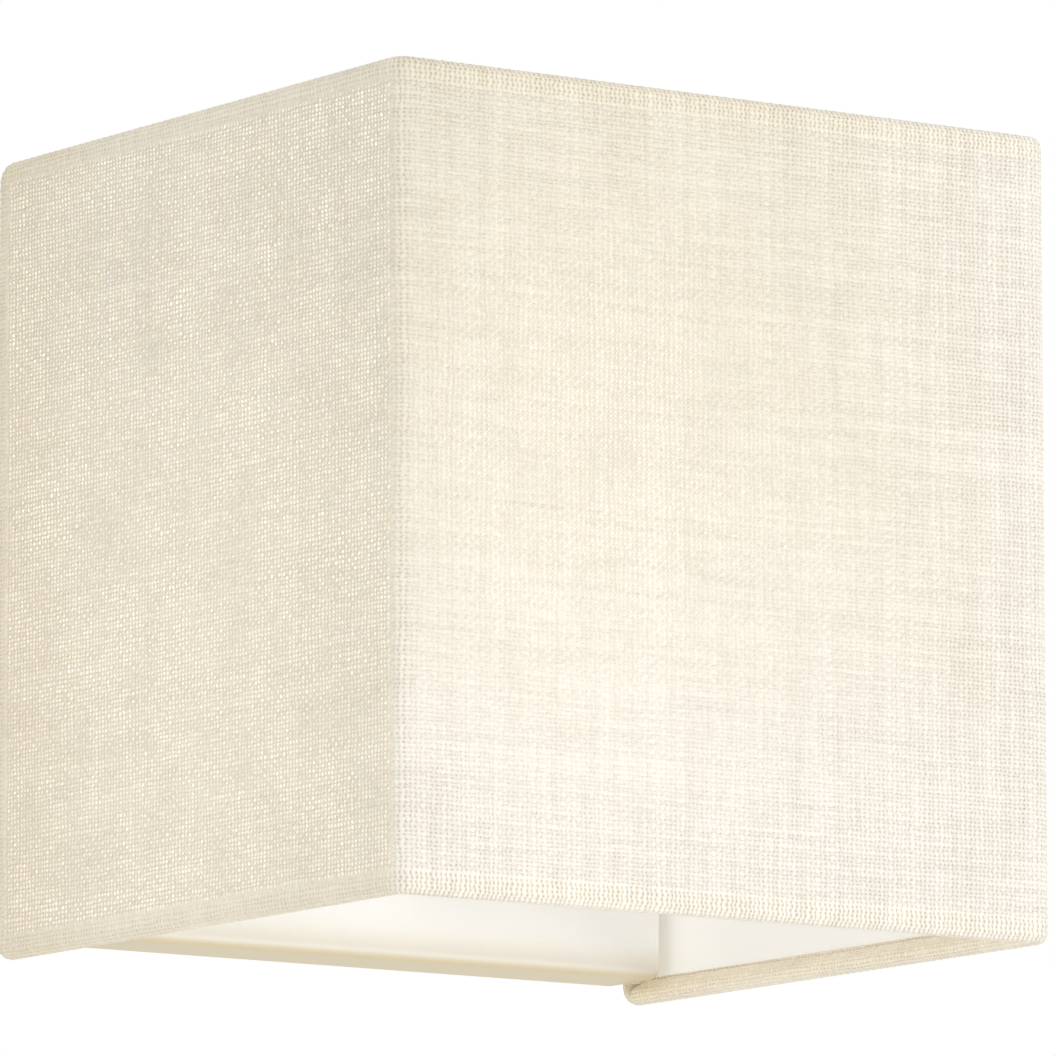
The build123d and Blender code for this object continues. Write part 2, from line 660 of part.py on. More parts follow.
def make_lamp_globe():
    """Opal shell that stands on the neck's rim."""
    inner_radius = GLOBE_RADIUS - GLOBE_WALL
    drop = GLOBE_SEAT - GLOBE_CENTRE
    outer_seat = globe_radius_at(GLOBE_SEAT)
    inner_seat = math.sqrt(inner_radius**2 - drop**2)
    outer = ThreePointArc(
        (outer_seat, GLOBE_SEAT), (GLOBE_RADIUS, GLOBE_CENTRE), (0, GLOBE_CENTRE + GLOBE_RADIUS)
    )
    inner = ThreePointArc(
        (inner_seat, GLOBE_SEAT), (inner_radius, GLOBE_CENTRE), (0, GLOBE_CENTRE + inner_radius)
    )
    ends = [Line(outer @ 0, inner @ 0), Line(outer @ 1, inner @ 1)]
    return turned([outer, inner, *ends], 0, lamp_y, lamp_tip)


# Terminal block. Its tubes lie along Z, one pole beside the other along X.


def clamp_places():
    return [(x, BLOCK_Z + rise) for x in pole_x for rise in (-CLAMP_SPREAD, CLAMP_SPREAD)]


def make_terminal_block():
    half = POLES * POLE_PITCH / 2
    ends = (block_bottom, BLOCK_Z + BLOCK_LENGTH / 2)
    body = block((-half, half), (pan_inside, block_rear), ends)
    body = fillet(body.edges().filter_by(Axis.Z).group_by(Axis.Y)[-1], BLOCK_GROOVE)
    for gap in range(POLES - 1):
        middle = (pole_x[gap] + pole_x[gap + 1]) / 2
        groove = (middle - BLOCK_GROOVE / 2, middle + BLOCK_GROOVE / 2)
        body -= block(groove, (block_rear - 2 * BLOCK_GROOVE, block_rear), ends)
        sink = block_rear - 2 * BLOCK_GROOVE - BLOCK_SCREW_HEAD_HEIGHT
        body -= rod_y(middle, BLOCK_Z, BLOCK_SCREW_HEAD + THREAD_GAP, sink, block_rear)
        body -= rod_y(middle, BLOCK_Z, BLOCK_SCREW_RADIUS + THREAD_GAP, pan_inside, sink)
    for x in pole_x:
        body -= rod_z(x, tube_y, TUBE_RADIUS + TUBE_GAP, *ends)
    for x, z in clamp_places():
        body -= rod_y(x, z, CLAMP_HEAD_RADIUS + TUBE_GAP, tube_y, block_rear)
    return body


def make_terminal_tubes():
    low = block_bottom + TUBE_INSET
    high = BLOCK_Z + BLOCK_LENGTH / 2 - TUBE_INSET
    tubes = []
    for x in pole_x:
        tube = rod_z(x, tube_y, TUBE_RADIUS, low, high) - rod_z(x, tube_y, TUBE_BORE, low, high)
        for rise in (-CLAMP_SPREAD, CLAMP_SPREAD):
            tube -= rod_y(x, BLOCK_Z + rise, CLAMP_RADIUS + TUBE_GAP, tube_y, tube_y + TUBE_RADIUS)
        tubes.append(tube.solid())
    return Compound(tubes)


def make_terminal_screws():
    """Slotted screws that press the conductor in its tube."""
    top = block_rear - CLAMP_SINK
    tip = tube_y + CONDUCTOR_RADIUS + TUBE_GAP
    neck = tube_y + TUBE_RADIUS + TUBE_GAP
    screws = []
    for x, z in clamp_places():
        screw = rod_y(x, z, CLAMP_RADIUS, tip, neck) + rod_y(x, z, CLAMP_HEAD_RADIUS, neck, top)
        wide = (x - CLAMP_HEAD_RADIUS, x + CLAMP_HEAD_RADIUS)
        narrow = (z - SLOT_WIDTH / 2, z + SLOT_WIDTH / 2)
        screws.append((screw - block(wide, (top - SLOT_DEPTH, top), narrow)).solid())
    return Compound(screws)


def make_block_screws():
    """Through the block between its poles, into the pan."""
    top = block_rear - 2 * BLOCK_GROOVE
    seat = top - BLOCK_SCREW_HEAD_HEIGHT
    x = POLE_PITCH / 2
    screw = rod_y(x, BLOCK_Z, BLOCK_SCREW_RADIUS, pan_front, seat)
    screw += rod_y(x, BLOCK_Z, BLOCK_SCREW_HEAD, seat, top)
    slot = block(
        (x - BLOCK_SCREW_HEAD, x + BLOCK_SCREW_HEAD),
        (top - SLOT_DEPTH, top),
        (BLOCK_Z - SLOT_WIDTH / 2, BLOCK_Z + SLOT_WIDTH / 2),
    )
    return pair(screw - slot)


# Leads: sleeved wires, bare at their ends, on straight runs joined by arcs.


def bend_radii(points):
    """The largest arc at each corner that leaves a short straight on both runs beside it."""
    corners = [Vector(*point) for point in points]
    radii = []
    for before, corner, after in zip(corners, corners[1:], corners[2:]):
        run_in = corner - before
        run_out = after - corner
        half_turn = math.radians(run_in.get_angle(run_out)) / 2
        radii.append(BEND_SHARE * min(run_in.length, run_out.length) / math.tan(half_turn))
    return radii


def lead(name, points):
    """A sleeved lead along points, with a bare conductor straight on from each end."""
    radii = bend_radii(points)
    path = FilletPolyline(*points, radius=radii)
    sleeve = sweep(Plane(path @ 0, z_dir=path % 0) * Circle(LEAD_RADIUS), path=path)
    expected = math.pi * LEAD_RADIUS**2 * path.length
    bends = ", ".join(f"{radius:.1f}" for radius in radii)
    print(f"{name}: {path.length:.1f} mm, bends {bends} mm, volume off by {sleeve.volume - expected:.3f}")
    for start, direction in ((path @ 0, -(path % 0)), (path @ 1, path % 1)):
        sleeve += extrude(Plane(start, z_dir=direction) * Circle(CONDUCTOR_RADIUS), CONDUCTOR_LENGTH)
    return sleeve


def make_lamp_lead(name, pole, side):
    """From a pole of the block down the pan, out through the grommet and into the lampholder."""
    x = pole_x[pole]
    gap_x = side * LEAD_SPACING / 2
    holder_x = side * HOLDER_LEAD_X
    holder_z = foot_top + HOLDER_LEAD_RISE
    entry_y = holder_entry_y() - LEAD_ENTRY
    points = [
        (x, tube_y, block_bottom + LEAD_ENTRY),
        (x, tube_y, block_bottom - LEAD_DROP),
        (gap_x, tube_y, grommet_z),
        (gap_x, bracket_face - LEAD_REACH, grommet_z),
        (holder_x, entry_y + HOLDER_LEAD_RUN, holder_z),
        (holder_x, entry_y, holder_z),
    ]
    return lead(name, points)


def make_earth_lead():
    """From the last pole to the crimped ring on the pan's earth stud."""
    x = pole_x[-1]
    barrel_y = pan_inside + BARREL_RADIUS
    points = [
        (x, tube_y, block_bottom + LEAD_ENTRY),
        (x, tube_y, block_bottom - LEAD_DROP),
        (x + EARTH_LEAD_STEP, barrel_y, EARTH_Z),
        (barrel_mouth, barrel_y, EARTH_Z),
    ]
    return lead("earth_lead", points)


def make_grommet():
    """Soft bush in the pan's hole, with a flange on each face."""
    back = pan_inside + GROMMET_FLANGE_HEIGHT
    front = pan_front - GROMMET_FLANGE_HEIGHT
    bush = rod_y(0, grommet_z, GROMMET_NECK, pan_inside, pan_front)
    bush += rod_y(0, grommet_z, GROMMET_FLANGE, pan_inside, back)
    bush += rod_y(0, grommet_z, GROMMET_FLANGE, pan_front, front)
    return bush - rod_y(0, grommet_z, GROMMET_BORE, back, front)


def make_earth_ring():
    """Flat ring with a crimp barrel that the earth lead goes into."""
    face = pan_inside + RING_SHEET
    axis_y = pan_inside + BARREL_RADIUS
    ring = rod_y(EARTH_X, EARTH_Z, RING_RADIUS, pan_inside, face)
    strip = (EARTH_Z - BARREL_RADIUS, EARTH_Z + BARREL_RADIUS)
    ring += block((barrel_end, EARTH_X), (pan_inside, face), strip)
    barrel = Plane((barrel_end, axis_y, EARTH_Z), z_dir=-RIGHT) * Circle(BARREL_RADIUS)
    ring += extrude(barrel, barrel_end - barrel_mouth)
    bore = Plane((barrel_mouth, axis_y, EARTH_Z), z_dir=RIGHT)
    ring -= extrude(bore * Circle(CONDUCTOR_RADIUS + THREAD_GAP), CONDUCTOR_LENGTH)
    return ring - rod_y(EARTH_X, EARTH_Z, SCREW_RADIUS + THREAD_GAP, pan_inside, face)


def make_earth_stud():
    """Welded to the inside of the pan."""
    tip = pan_inside + RING_SHEET + NUT_HEIGHT + SCREW_TIP
    return rod_y(EARTH_X, EARTH_Z, SCREW_RADIUS, pan_inside, tip)


def make_earth_nut():
    return hex_nut(EARTH_X, EARTH_Z, pan_inside + RING_SHEET)


hem_wire = make_hem_wire()
upright_left, upright_right = make_front_uprights(hem_wire)
parts = {
    "shade_cloth": make_shade_cloth(),
    "shade_liner": make_shade_liner(),
    "liner_lap": make_liner_lap(),
    "hem_wire": hem_wire,
    "front_upright_left": upright_left,
    "front_upright_right": upright_right,
    "fitter_bar": make_fitter_bar(hem_wire),
    "thumb_washer_left": make_thumb_washer(-stud_x),
    "thumb_washer_right": make_thumb_washer(stud_x),
    "thumb_nut_left": make_thumb_nut(-stud_x),
    "thumb_nut_right": make_thumb_nut(stud_x),
    "back_pan": make_back_pan(),
    "wall_strap": make_wall_strap(),
    "pan_screws": make_pan_screws(),
    "shade_studs": make_shade_studs(),
    "holder_bracket": make_holder_bracket(),
    "bracket_screws": make_bracket_screws(),
    "bracket_nuts": make_bracket_nuts(),
    "holder_body": make_holder_body(),
    "holder_shell": make_holder_shell(),
    "holder_contact": make_holder_contact(),
    "holder_screws": make_holder_screws(),
    "lamp_contact": make_lamp_contact(),
    "lamp_insulator": make_lamp_insulator(),
    "lamp_cap": make_lamp_cap(),
    "lamp_neck": make_lamp_neck(),
    "lamp_board": make_lamp_board(),
    "lamp_globe": make_lamp_globe(),
    "terminal_block": make_terminal_block(),
    "terminal_tubes": make_terminal_tubes(),
    "terminal_screws": make_terminal_screws(),
    "block_screws": make_block_screws(),
    "live_lead": make_lamp_lead("live_lead", 0, -1),
    "neutral_lead": make_lamp_lead("neutral_lead", 1, 1),
    "earth_lead": make_earth_lead(),
    "grommet": make_grommet(),
    "earth_ring": make_earth_ring(),
    "earth_stud": make_earth_stud(),
    "earth_nut": make_earth_nut(),
}

os.makedirs("parts", exist_ok=True)
for name, shape in parts.items():
    export_step(shape, f"parts/{name}.step")
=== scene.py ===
import math

import bmesh
import bpy
import numpy as np
from mathutils import Matrix, Vector


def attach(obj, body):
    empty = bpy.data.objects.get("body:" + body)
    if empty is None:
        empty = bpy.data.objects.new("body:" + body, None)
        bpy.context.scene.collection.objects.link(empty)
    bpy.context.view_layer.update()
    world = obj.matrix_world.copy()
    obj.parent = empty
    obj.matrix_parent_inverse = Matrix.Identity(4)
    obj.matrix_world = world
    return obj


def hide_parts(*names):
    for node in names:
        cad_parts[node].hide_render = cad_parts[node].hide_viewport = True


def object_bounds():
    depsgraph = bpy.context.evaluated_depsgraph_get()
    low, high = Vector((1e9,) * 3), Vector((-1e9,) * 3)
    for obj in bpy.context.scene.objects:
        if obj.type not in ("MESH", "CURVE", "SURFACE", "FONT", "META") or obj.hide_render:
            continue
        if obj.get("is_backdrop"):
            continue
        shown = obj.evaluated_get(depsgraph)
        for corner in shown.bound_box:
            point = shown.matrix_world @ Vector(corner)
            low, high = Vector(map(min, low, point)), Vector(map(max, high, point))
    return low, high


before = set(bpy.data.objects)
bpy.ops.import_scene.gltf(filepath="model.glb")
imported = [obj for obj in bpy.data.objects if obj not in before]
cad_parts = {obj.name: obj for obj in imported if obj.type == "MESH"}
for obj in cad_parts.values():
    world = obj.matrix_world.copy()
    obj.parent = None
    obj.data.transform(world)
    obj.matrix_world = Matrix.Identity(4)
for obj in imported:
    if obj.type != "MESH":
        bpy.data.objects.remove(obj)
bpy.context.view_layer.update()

MM = 0.001

# Camera: a long lens below and to the left of the light, aimed at the shade's left front corner.
# It looks up a little, so the open bottom of the shade and the pan's lower edge are seen.
CAMERA_TURN = math.radians(34.87)
CAMERA_TILT = math.radians(8.53)
CAMERA_ROLL = math.radians(-0.11)
CAMERA_FOCUS = 11171.0  # in pixels of the picture
CAMERA_DISTANCE = 2.367
PICTURE_WIDTH = 1056
SENSOR_WIDTH = 36.0
CORNER_POINT = Vector((-0.0875, -0.160, 0.0))
CORNER_PIXEL = (397.0, 470.0)

level = math.cos(CAMERA_TILT)
look = Vector((math.sin(CAMERA_TURN) * level, math.cos(CAMERA_TURN) * level, math.sin(CAMERA_TILT)))
across = Vector((math.cos(CAMERA_TURN), -math.sin(CAMERA_TURN), 0))
upward = across.cross(look)
right_hand = across * math.cos(CAMERA_ROLL) + upward * math.sin(CAMERA_ROLL)
overhead = upward * math.cos(CAMERA_ROLL) - across * math.sin(CAMERA_ROLL)
step_right = (CORNER_PIXEL[0] - PICTURE_WIDTH / 2) / CAMERA_FOCUS * CAMERA_DISTANCE
step_up = (PICTURE_WIDTH / 2 - CORNER_PIXEL[1]) / CAMERA_FOCUS * CAMERA_DISTANCE
eye = CORNER_POINT - look * CAMERA_DISTANCE - right_hand * step_right - overhead * step_up
camera = bpy.data.objects.new("camera", bpy.data.cameras.new("camera"))
bpy.context.scene.collection.objects.link(camera)
camera.matrix_world = Matrix((
    (right_hand.x, overhead.x, -look.x, eye.x),
    (right_hand.y, overhead.y, -look.y, eye.y),
    (right_hand.z, overhead.z, -look.z, eye.z),
    (0, 0, 0, 1),
))
camera.data.sensor_width = SENSOR_WIDTH
camera.data.lens = SENSOR_WIDTH * CAMERA_FOCUS / PICTURE_WIDTH
camera.data.clip_end = 200.0
bpy.context.scene.camera = camera
bpy.context.scene.view_settings.view_transform = "Standard"


# Studio: a pale floor 1.6 m below the light, white daylight all round, and three large soft boxes.
# Far from the light the floor turns as white as the air behind it, so no horizon shows.
# From underneath the floor is clear, so the light can be looked at from below.
def new_finish(name, colour=(0.8, 0.8, 0.8), rough=0.5, metal=0.0):
    """A material with a principled shader of one plain colour, to be worked up with nodes."""
    material = bpy.data.materials.new(name)
    material.use_nodes = True
    surface = material.node_tree.nodes["Principled BSDF"]
    surface.inputs["Base Color"].default_value = (*colour, 1)
    surface.inputs["Roughness"].default_value = rough
    surface.inputs["Metallic"].default_value = metal
    return material, material.node_tree, surface


def put(tree, kind, inputs=None, **settings):
    """Adds a node, sets its properties, and fills its sockets with values or links."""
    node = tree.nodes.new("ShaderNode" + kind)
    for key, value in settings.items():
        setattr(node, key, value)
    for key, value in (inputs or {}).items():
        if isinstance(value, bpy.types.NodeSocket):
            tree.links.new(value, node.inputs[key])
        else:
            node.inputs[key].default_value = value
    return node


def reckon(tree, operation, a, b=0.0, c=0.0):
    """One math node."""
    return put(tree, "Math", {0: a, 1: b, 2: c}, operation=operation).outputs[0]


def graded(tree, share, start, end):
    """Goes straight from start to end as share goes from 0 to 1."""
    return reckon(tree, "MULTIPLY_ADD", share, end - start, start)


def between(tree, value, low, high, to_low=0.0, to_high=1.0):
    """Maps low..high smoothly onto to_low..to_high."""
    sockets = {"Value": value, "From Min": low, "From Max": high, "To Min": to_low, "To Max": to_high}
    return put(tree, "MapRange", sockets, interpolation_type="SMOOTHSTEP").outputs["Result"]


def patches(tree, place, scale, detail):
    """Soft random patches from 0 to 1."""
    return put(tree, "TexNoise", {"Vector": place, "Scale": scale, "Detail": detail}).outputs["Fac"]


def roughen(tree, surface, height, strength, depth):
    """Fine relief of a surface, by bump."""
    bump = put(tree, "Bump", {"Height": height, "Strength": strength, "Distance": depth})
    tree.links.new(bump.outputs[0], surface.inputs["Normal"])


def how_far(tree, vector):
    """Length of a vector."""
    return put(tree, "VectorMath", {0: vector}, operation="LENGTH").outputs["Value"]


def in_view(tree):
    """1 for what the camera sees, straight or in a gloss or glass, and 0 for light on the object."""
    ray = put(tree, "LightPath").outputs
    in_gloss = reckon(tree, "MAXIMUM", ray["Is Glossy Ray"], ray["Is Transmission Ray"])
    return reckon(tree, "MAXIMUM", ray["Is Camera Ray"], in_gloss)


FLOOR_DROP = 1.6
FLOOR_SIZE = 160.0
NEAR_FLOOR, FAR_FLOOR = 2.2, 7.0  # metres from the light, between which the floor turns white
FLOOR_GLOW = 0.62
SIDE_DAYLIGHT, TOP_DAYLIGHT = 0.58, 0.86
WHITE = (1, 1, 1, 1)

half = FLOOR_SIZE / 2
floor_mesh = bpy.data.meshes.new("floor")
floor_corners = [(x * half, y * half, -FLOOR_DROP) for x, y in ((-1, -1), (1, -1), (1, 1), (-1, 1))]
floor_mesh.from_pydata(floor_corners, [], [(0, 1, 2, 3)])
floor = bpy.data.objects.new("floor", floor_mesh)
bpy.context.scene.collection.objects.link(floor)
floor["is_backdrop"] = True
floor_finish, tree, surface = new_finish("floor paint", (0.86, 0.86, 0.85), 0.7)
place = put(tree, "TexCoord").outputs["Object"]
roughen(tree, surface, patches(tree, place, 60.0, 4.0), 0.05, 0.002)
strength = graded(tree, in_view(tree), FLOOR_GLOW, 1.0)
glow = put(tree, "Emission", {"Color": WHITE, "Strength": strength})
far = between(tree, how_far(tree, place), NEAR_FLOOR, FAR_FLOOR)
blend = put(tree, "MixShader", {0: far, 1: surface.outputs[0], 2: glow.outputs[0]})
under = put(tree, "NewGeometry").outputs["Backfacing"]
clear = put(tree, "BsdfTransparent", {"Color": WHITE})
blend = put(tree, "MixShader", {0: under, 1: blend.outputs[0], 2: clear.outputs[0]})
tree.links.new(blend.outputs[0], tree.nodes["Material Output"].inputs["Surface"])
floor_mesh.materials.append(floor_finish)

world = bpy.data.worlds.new("studio air")
bpy.context.scene.world = world
world.use_nodes = True
tree = world.node_tree
air = tree.nodes["Background"]
air.inputs["Color"].default_value = WHITE
upward_share = put(tree, "SeparateXYZ", {0: put(tree, "TexCoord").outputs["Generated"]}).outputs[2]
sky = between(tree, upward_share, 0.2, 0.8, SIDE_DAYLIGHT, TOP_DAYLIGHT)
tree.links.new(reckon(tree, "MAXIMUM", in_view(tree), sky), air.inputs["Strength"])


def soft_box(name, place, size, watts, colour):
    """A square lamp at place that faces the light."""
    lamp = bpy.data.lights.new(name, "AREA")
    lamp.size = size
    lamp.energy = watts
    lamp.color = colour
    box = bpy.data.objects.new(name, lamp)
    bpy.context.scene.collection.objects.link(box)
    box.location = place
    box.rotation_euler = (-Vector(place)).to_track_quat("-Z", "Y").to_euler()


soft_box("front_box", (0.0, -2.6, 0.5), 1.0, 9.5, (1.0, 0.99, 0.97))
soft_box("right_box", (1.6, -2.0, -0.7), 1.2, 18.5, (1.0, 1.0, 0.99))
soft_box("left_box", (-2.6, -1.0, -0.5), 1.4, 12.5, (1.0, 0.99, 0.97))

# Shade cloth: one strip of cream slub linen in plain weave, glued over the liner, rolled round the
# hem wire along its whole edge and turned in about 6 mm. The mesh has a point at every crossing of
# the yarns, pushed out and in by turns, so the weave stands in relief.
SHADE_WIDTH, SHADE_HEIGHT, SHADE_DEPTH = 175.0, 180.0, 160.0
CORNER_RADIUS = 4.8
ROLL_RADIUS = 2.15  # outside of the cloth round the wire
WIRE_BEND = 2.65
ROLL_TURN = 235.0  # degrees of the wire that the cloth covers
FLAP_FACE, FLAP_BACK = 1.05, 0.45  # the turned-in cloth, from the wire's middle outwards
FLAP_END = 3.85
WARP_PITCH, WEFT_PITCH = 1.241, 0.982
RELIEF, HEM_RELIEF, FLAP_RELIEF = 0.08, 0.062, 0.035  # how far a crossing stands out or in
SLIT = (21.5, 38.5)  # where the fitter bar's ends go through the turned-in cloth
HEM_WIDTH, HEM_FADE = 6.0, 1.5
SHUT_WIDTH, SHUT_FADE = 2.6, 1.3  # each side of a front corner, where the bend closes the weave
SHUT_SHARE = 0.8
LAP_WIDTH = 37.0

wire_z = SHADE_HEIGHT / 2 - ROLL_RADIUS
side_run = SHADE_DEPTH - CORNER_RADIUS - ROLL_RADIUS
front_run = SHADE_WIDTH - 2 * CORNER_RADIUS
corner_run = CORNER_RADIUS * math.pi / 2
strip_run = 2 * side_run + 2 * corner_run + front_run


def on_shade(run, height):
    """Point of the shade's outside, and the way it faces, from the run along the strip."""
    point = np.zeros((len(run), 3))
    face = np.zeros((len(run), 3))
    mirrored = run > strip_run / 2
    near = np.where(mirrored, strip_run - run, run)
    turn = np.clip((near - side_run) / CORNER_RADIUS, 0, math.pi / 2)
    face[:, 0] = -np.cos(turn)
    face[:, 1] = -np.sin(turn)
    point[:, 0] = CORNER_RADIUS - SHADE_WIDTH / 2 + CORNER_RADIUS * face[:, 0]
    point[:, 1] = CORNER_RADIUS - SHADE_DEPTH + CORNER_RADIUS * face[:, 1]
    point[:, 1] += np.maximum(side_run - near, 0)
    point[:, 0] += np.maximum(near - side_run - corner_run, 0)
    point[:, 0] = np.where(mirrored, -point[:, 0], point[:, 0])
    face[:, 0] = np.where(mirrored, -face[:, 0], face[:, 0])
    point[:, 2] = height
    return point, face


def along_shade(run):
    """The way the strip runs at each place, level round the shade."""
    _, face = on_shade(run, np.zeros(len(run)))
    return np.stack([-face[:, 1], face[:, 0], np.zeros(len(run))], axis=1)


columns = round(strip_run / WARP_PITCH)
rows = round(2 * wire_z / WEFT_PITCH)
grid_run = np.linspace(0, strip_run, columns + 1)
grid_z = np.linspace(-wire_z, wire_z, rows + 1)
run, height = (axis.ravel() for axis in np.meshgrid(grid_run, grid_z))
flat = np.stack([run, height], axis=1)
# The grid's square rear corners are drawn in to the bends of the wire.
for corner_run_at, side in ((WIRE_BEND, -1), (strip_run - WIRE_BEND, 1)):
    for corner_z in (-1, 1):
        middle = np.array([corner_run_at, corner_z * (wire_z - WIRE_BEND)])
        away = flat - middle
        inside = (away[:, 0] * side > 0) & (away[:, 1] * corner_z > 0)
        square = np.abs(away).max(axis=1)
        length = np.linalg.norm(away, axis=1)
        flat[inside] = middle + away[inside] * (square[inside] / length[inside])[:, None]
points, faces_out = on_shade(flat[:, 0], flat[:, 1])
parity = np.add.outer(np.arange(rows + 1), np.arange(columns + 1)).ravel() % 2
hem = np.minimum(np.minimum(flat[:, 0], strip_run - flat[:, 0]), wire_z - np.abs(flat[:, 1]))
hem = np.clip((HEM_WIDTH - ROLL_RADIUS - hem) / HEM_FADE, 0, 1)
push = (1 - 2 * parity) * (RELIEF + (HEM_RELIEF - RELIEF) * hem)
all_points = [points + faces_out * push[:, None]]
all_flat = [flat]
all_hem = [hem]
all_parity = [parity]

# The strip's edge all round, the way out of the strip there, and the room that the cloth has to be
# turned in before it meets what is turned in from the next edge.
grid = np.arange((rows + 1) * (columns + 1)).reshape(rows + 1, columns + 1)
rim = np.concatenate([grid[-1, :-1], grid[:0:-1, -1], grid[0, :0:-1], grid[:-1, 0]])
rim_flat = flat[rim]
rim_way = np.zeros((len(rim), 2))
room = np.zeros(len(rim))
for index, (along, up) in enumerate(rim_flat):
    end_side = -1 if along < strip_run / 2 else 1
    end_run = along if end_side < 0 else strip_run - along
    end_height = wire_z - abs(up)
    up_side = 1 if up > 0 else -1
    if end_run < WIRE_BEND and end_height < WIRE_BEND:
        middle_run = WIRE_BEND if end_side < 0 else strip_run - WIRE_BEND
        middle = np.array([middle_run, up_side * (wire_z - WIRE_BEND)])
        rim_way[index] = (rim_flat[index] - middle) / WIRE_BEND
        room[index] = WIRE_BEND
    elif end_run < 1e-6:
        rim_way[index] = (end_side, 0)
        room[index] = end_height
    else:
        rim_way[index] = (0, up_side)
        room[index] = end_run
rim_points, rim_face = on_shade(rim_flat[:, 0], rim_flat[:, 1])
rim_along = along_shade(rim_flat[:, 0])
rim_out = rim_along * rim_way[:, :1] + np.array([0, 0, 1]) * rim_way[:, 1:]
wire_middle = rim_points - rim_face * ROLL_RADIUS

# Rings of points round the wire and up the liner: out from the wall of the shade, towards its edge,
# and the way the cloth faces there.
ROLL_STEPS = 9
levels = []
for step in range(1, ROLL_STEPS + 1):
    turn = math.radians(ROLL_TURN * step / ROLL_STEPS)
    lean = (math.cos(turn), math.sin(turn))
    levels.append((ROLL_RADIUS * lean[0], ROLL_RADIUS * lean[1], *lean))
leave = math.radians(ROLL_TURN)
leave_out, leave_edge = ROLL_RADIUS * math.cos(leave), ROLL_RADIUS * math.sin(leave)
slope = (FLAP_BACK - leave_out) / -math.sin(leave)
touch = leave_edge + slope * math.cos(leave)
levels.append(((leave_out + FLAP_BACK) / 2, (leave_edge + touch) / 2, math.cos(leave), math.sin(leave)))
levels.append((FLAP_BACK, touch, -0.95, -0.3))
levels.append((FLAP_BACK, -FLAP_END, -1.0, 0.0))
levels.append((FLAP_FACE, -FLAP_END, 0.0, -1.0))

# The outer rings stand out as the hem does. That fades over three rings, and from the sixth on the
# relief is the turned-in cloth's.
INNER_FROM, RELIEF_FADE = 6, 3
rings = [rim]
run_out = 0.0
before = (ROLL_RADIUS, 0.0)
count = len(points)
for number, (out, edge, lean_out, lean_edge) in enumerate(levels, 1):
    run_out += math.hypot(out - before[0], edge - before[1])
    before = (out, edge)
    reach_in = np.maximum(edge, -room)
    ring_points = wire_middle + rim_face * out + rim_out * reach_in[:, None]
    ring_face = rim_face * lean_out + rim_out * lean_edge
    ring_parity = (parity[rim] + number) % 2
    outside = min(max((INNER_FROM - number) / RELIEF_FADE, 0), 1)
    relief = FLAP_RELIEF + (HEM_RELIEF - FLAP_RELIEF) * outside if number < len(levels) else 0.0
    lift = (1 - 2 * ring_parity) * relief
    all_points.append(ring_points + ring_face * lift[:, None])
    all_flat.append(rim_flat + rim_way * run_out)
    all_hem.append(np.full(len(rim), outside))
    all_parity.append(ring_parity)
    rings.append(np.arange(count, count + len(rim)))
    count += len(rim)

points = np.concatenate(all_points)
flat = np.concatenate(all_flat)
hem = np.concatenate(all_hem)
parity = np.concatenate(all_parity)
grid_quads = np.stack([grid[:-1, :-1], grid[:-1, 1:], grid[1:, 1:], grid[1:, :-1]], axis=-1)
quads = [grid_quads.reshape(-1, 4)]
for number, (inner, outer) in enumerate(zip(rings, rings[1:])):
    ring_quads = np.stack([inner, np.roll(inner, -1), np.roll(outer, -1), outer], axis=1)
    if number >= ROLL_STEPS - 2:
        up = flat[ring_quads][:, :, 1].mean(axis=1)
        at_end = np.abs(rim_way[np.arange(len(rim)), 0]) > 0.5
        ring_quads = ring_quads[~(at_end & (up > SLIT[0]) & (up < SLIT[1]))]
    quads.append(ring_quads)
quads = np.concatenate(quads)
turned_quads = np.roll(quads, -1, axis=1)
quads = np.where((parity[quads[:, 0]] == 0)[:, None], turned_quads, quads)
triangles = np.concatenate([quads[:, [0, 1, 2]], quads[:, [0, 2, 3]]])
SMALLEST_AREA = 1e-5  # square mm, twice the area of the least triangle that is kept
first, second, third = np.moveaxis(points[triangles], 1, 0)
double_area = np.linalg.norm(np.cross(second - first, third - first), axis=1)
triangles = triangles[double_area > SMALLEST_AREA]

cloth_mesh = bpy.data.meshes.new("linen_cloth")
cloth_mesh.vertices.add(len(points))
cloth_mesh.vertices.foreach_set("co", (points * MM).ravel())
cloth_mesh.loops.add(len(triangles) * 3)
cloth_mesh.loops.foreach_set("vertex_index", triangles.ravel())
cloth_mesh.polygons.add(len(triangles))
cloth_mesh.polygons.foreach_set("loop_start", np.arange(0, len(triangles) * 3, 3))
cloth_mesh.update(calc_edges=True)
yarns = flat / np.array([strip_run / columns, 2 * wire_z / rows]) + np.array([0, rows / 2])
layer = cloth_mesh.uv_layers.new(name="yarns")
layer.data.foreach_set("uv", yarns[triangles].ravel())
# The flat strip for baking, cut in two halves that lie one above the other.
BAKE_MARGIN = 14.0
bake_row = 2 * (wire_z + BAKE_MARGIN)
on_right = flat[triangles][:, :, 0].mean(axis=1) > strip_run / 2
baked = flat[triangles].copy()
baked[:, :, 0] += BAKE_MARGIN
baked[:, :, 0] -= np.where(on_right, strip_run / 2, 0)[:, None]
baked[:, :, 1] += wire_z + BAKE_MARGIN + np.where(on_right, bake_row, 0)[:, None]
layer = cloth_mesh.uv_layers.new(name="OFBake")
layer.data.foreach_set("uv", (baked / (2 * bake_row)).ravel())
from_corner = np.abs(np.minimum(flat[:, 0], strip_run - flat[:, 0]) - side_run - corner_run / 2)
shut = np.clip((SHUT_WIDTH - from_corner) / SHUT_FADE, 0, 1)
on_roll = np.arange(len(points)) >= rings[1][0]
open_weave = np.where(on_roll, 0, (1 - hem) * (1 - SHUT_SHARE * shut))
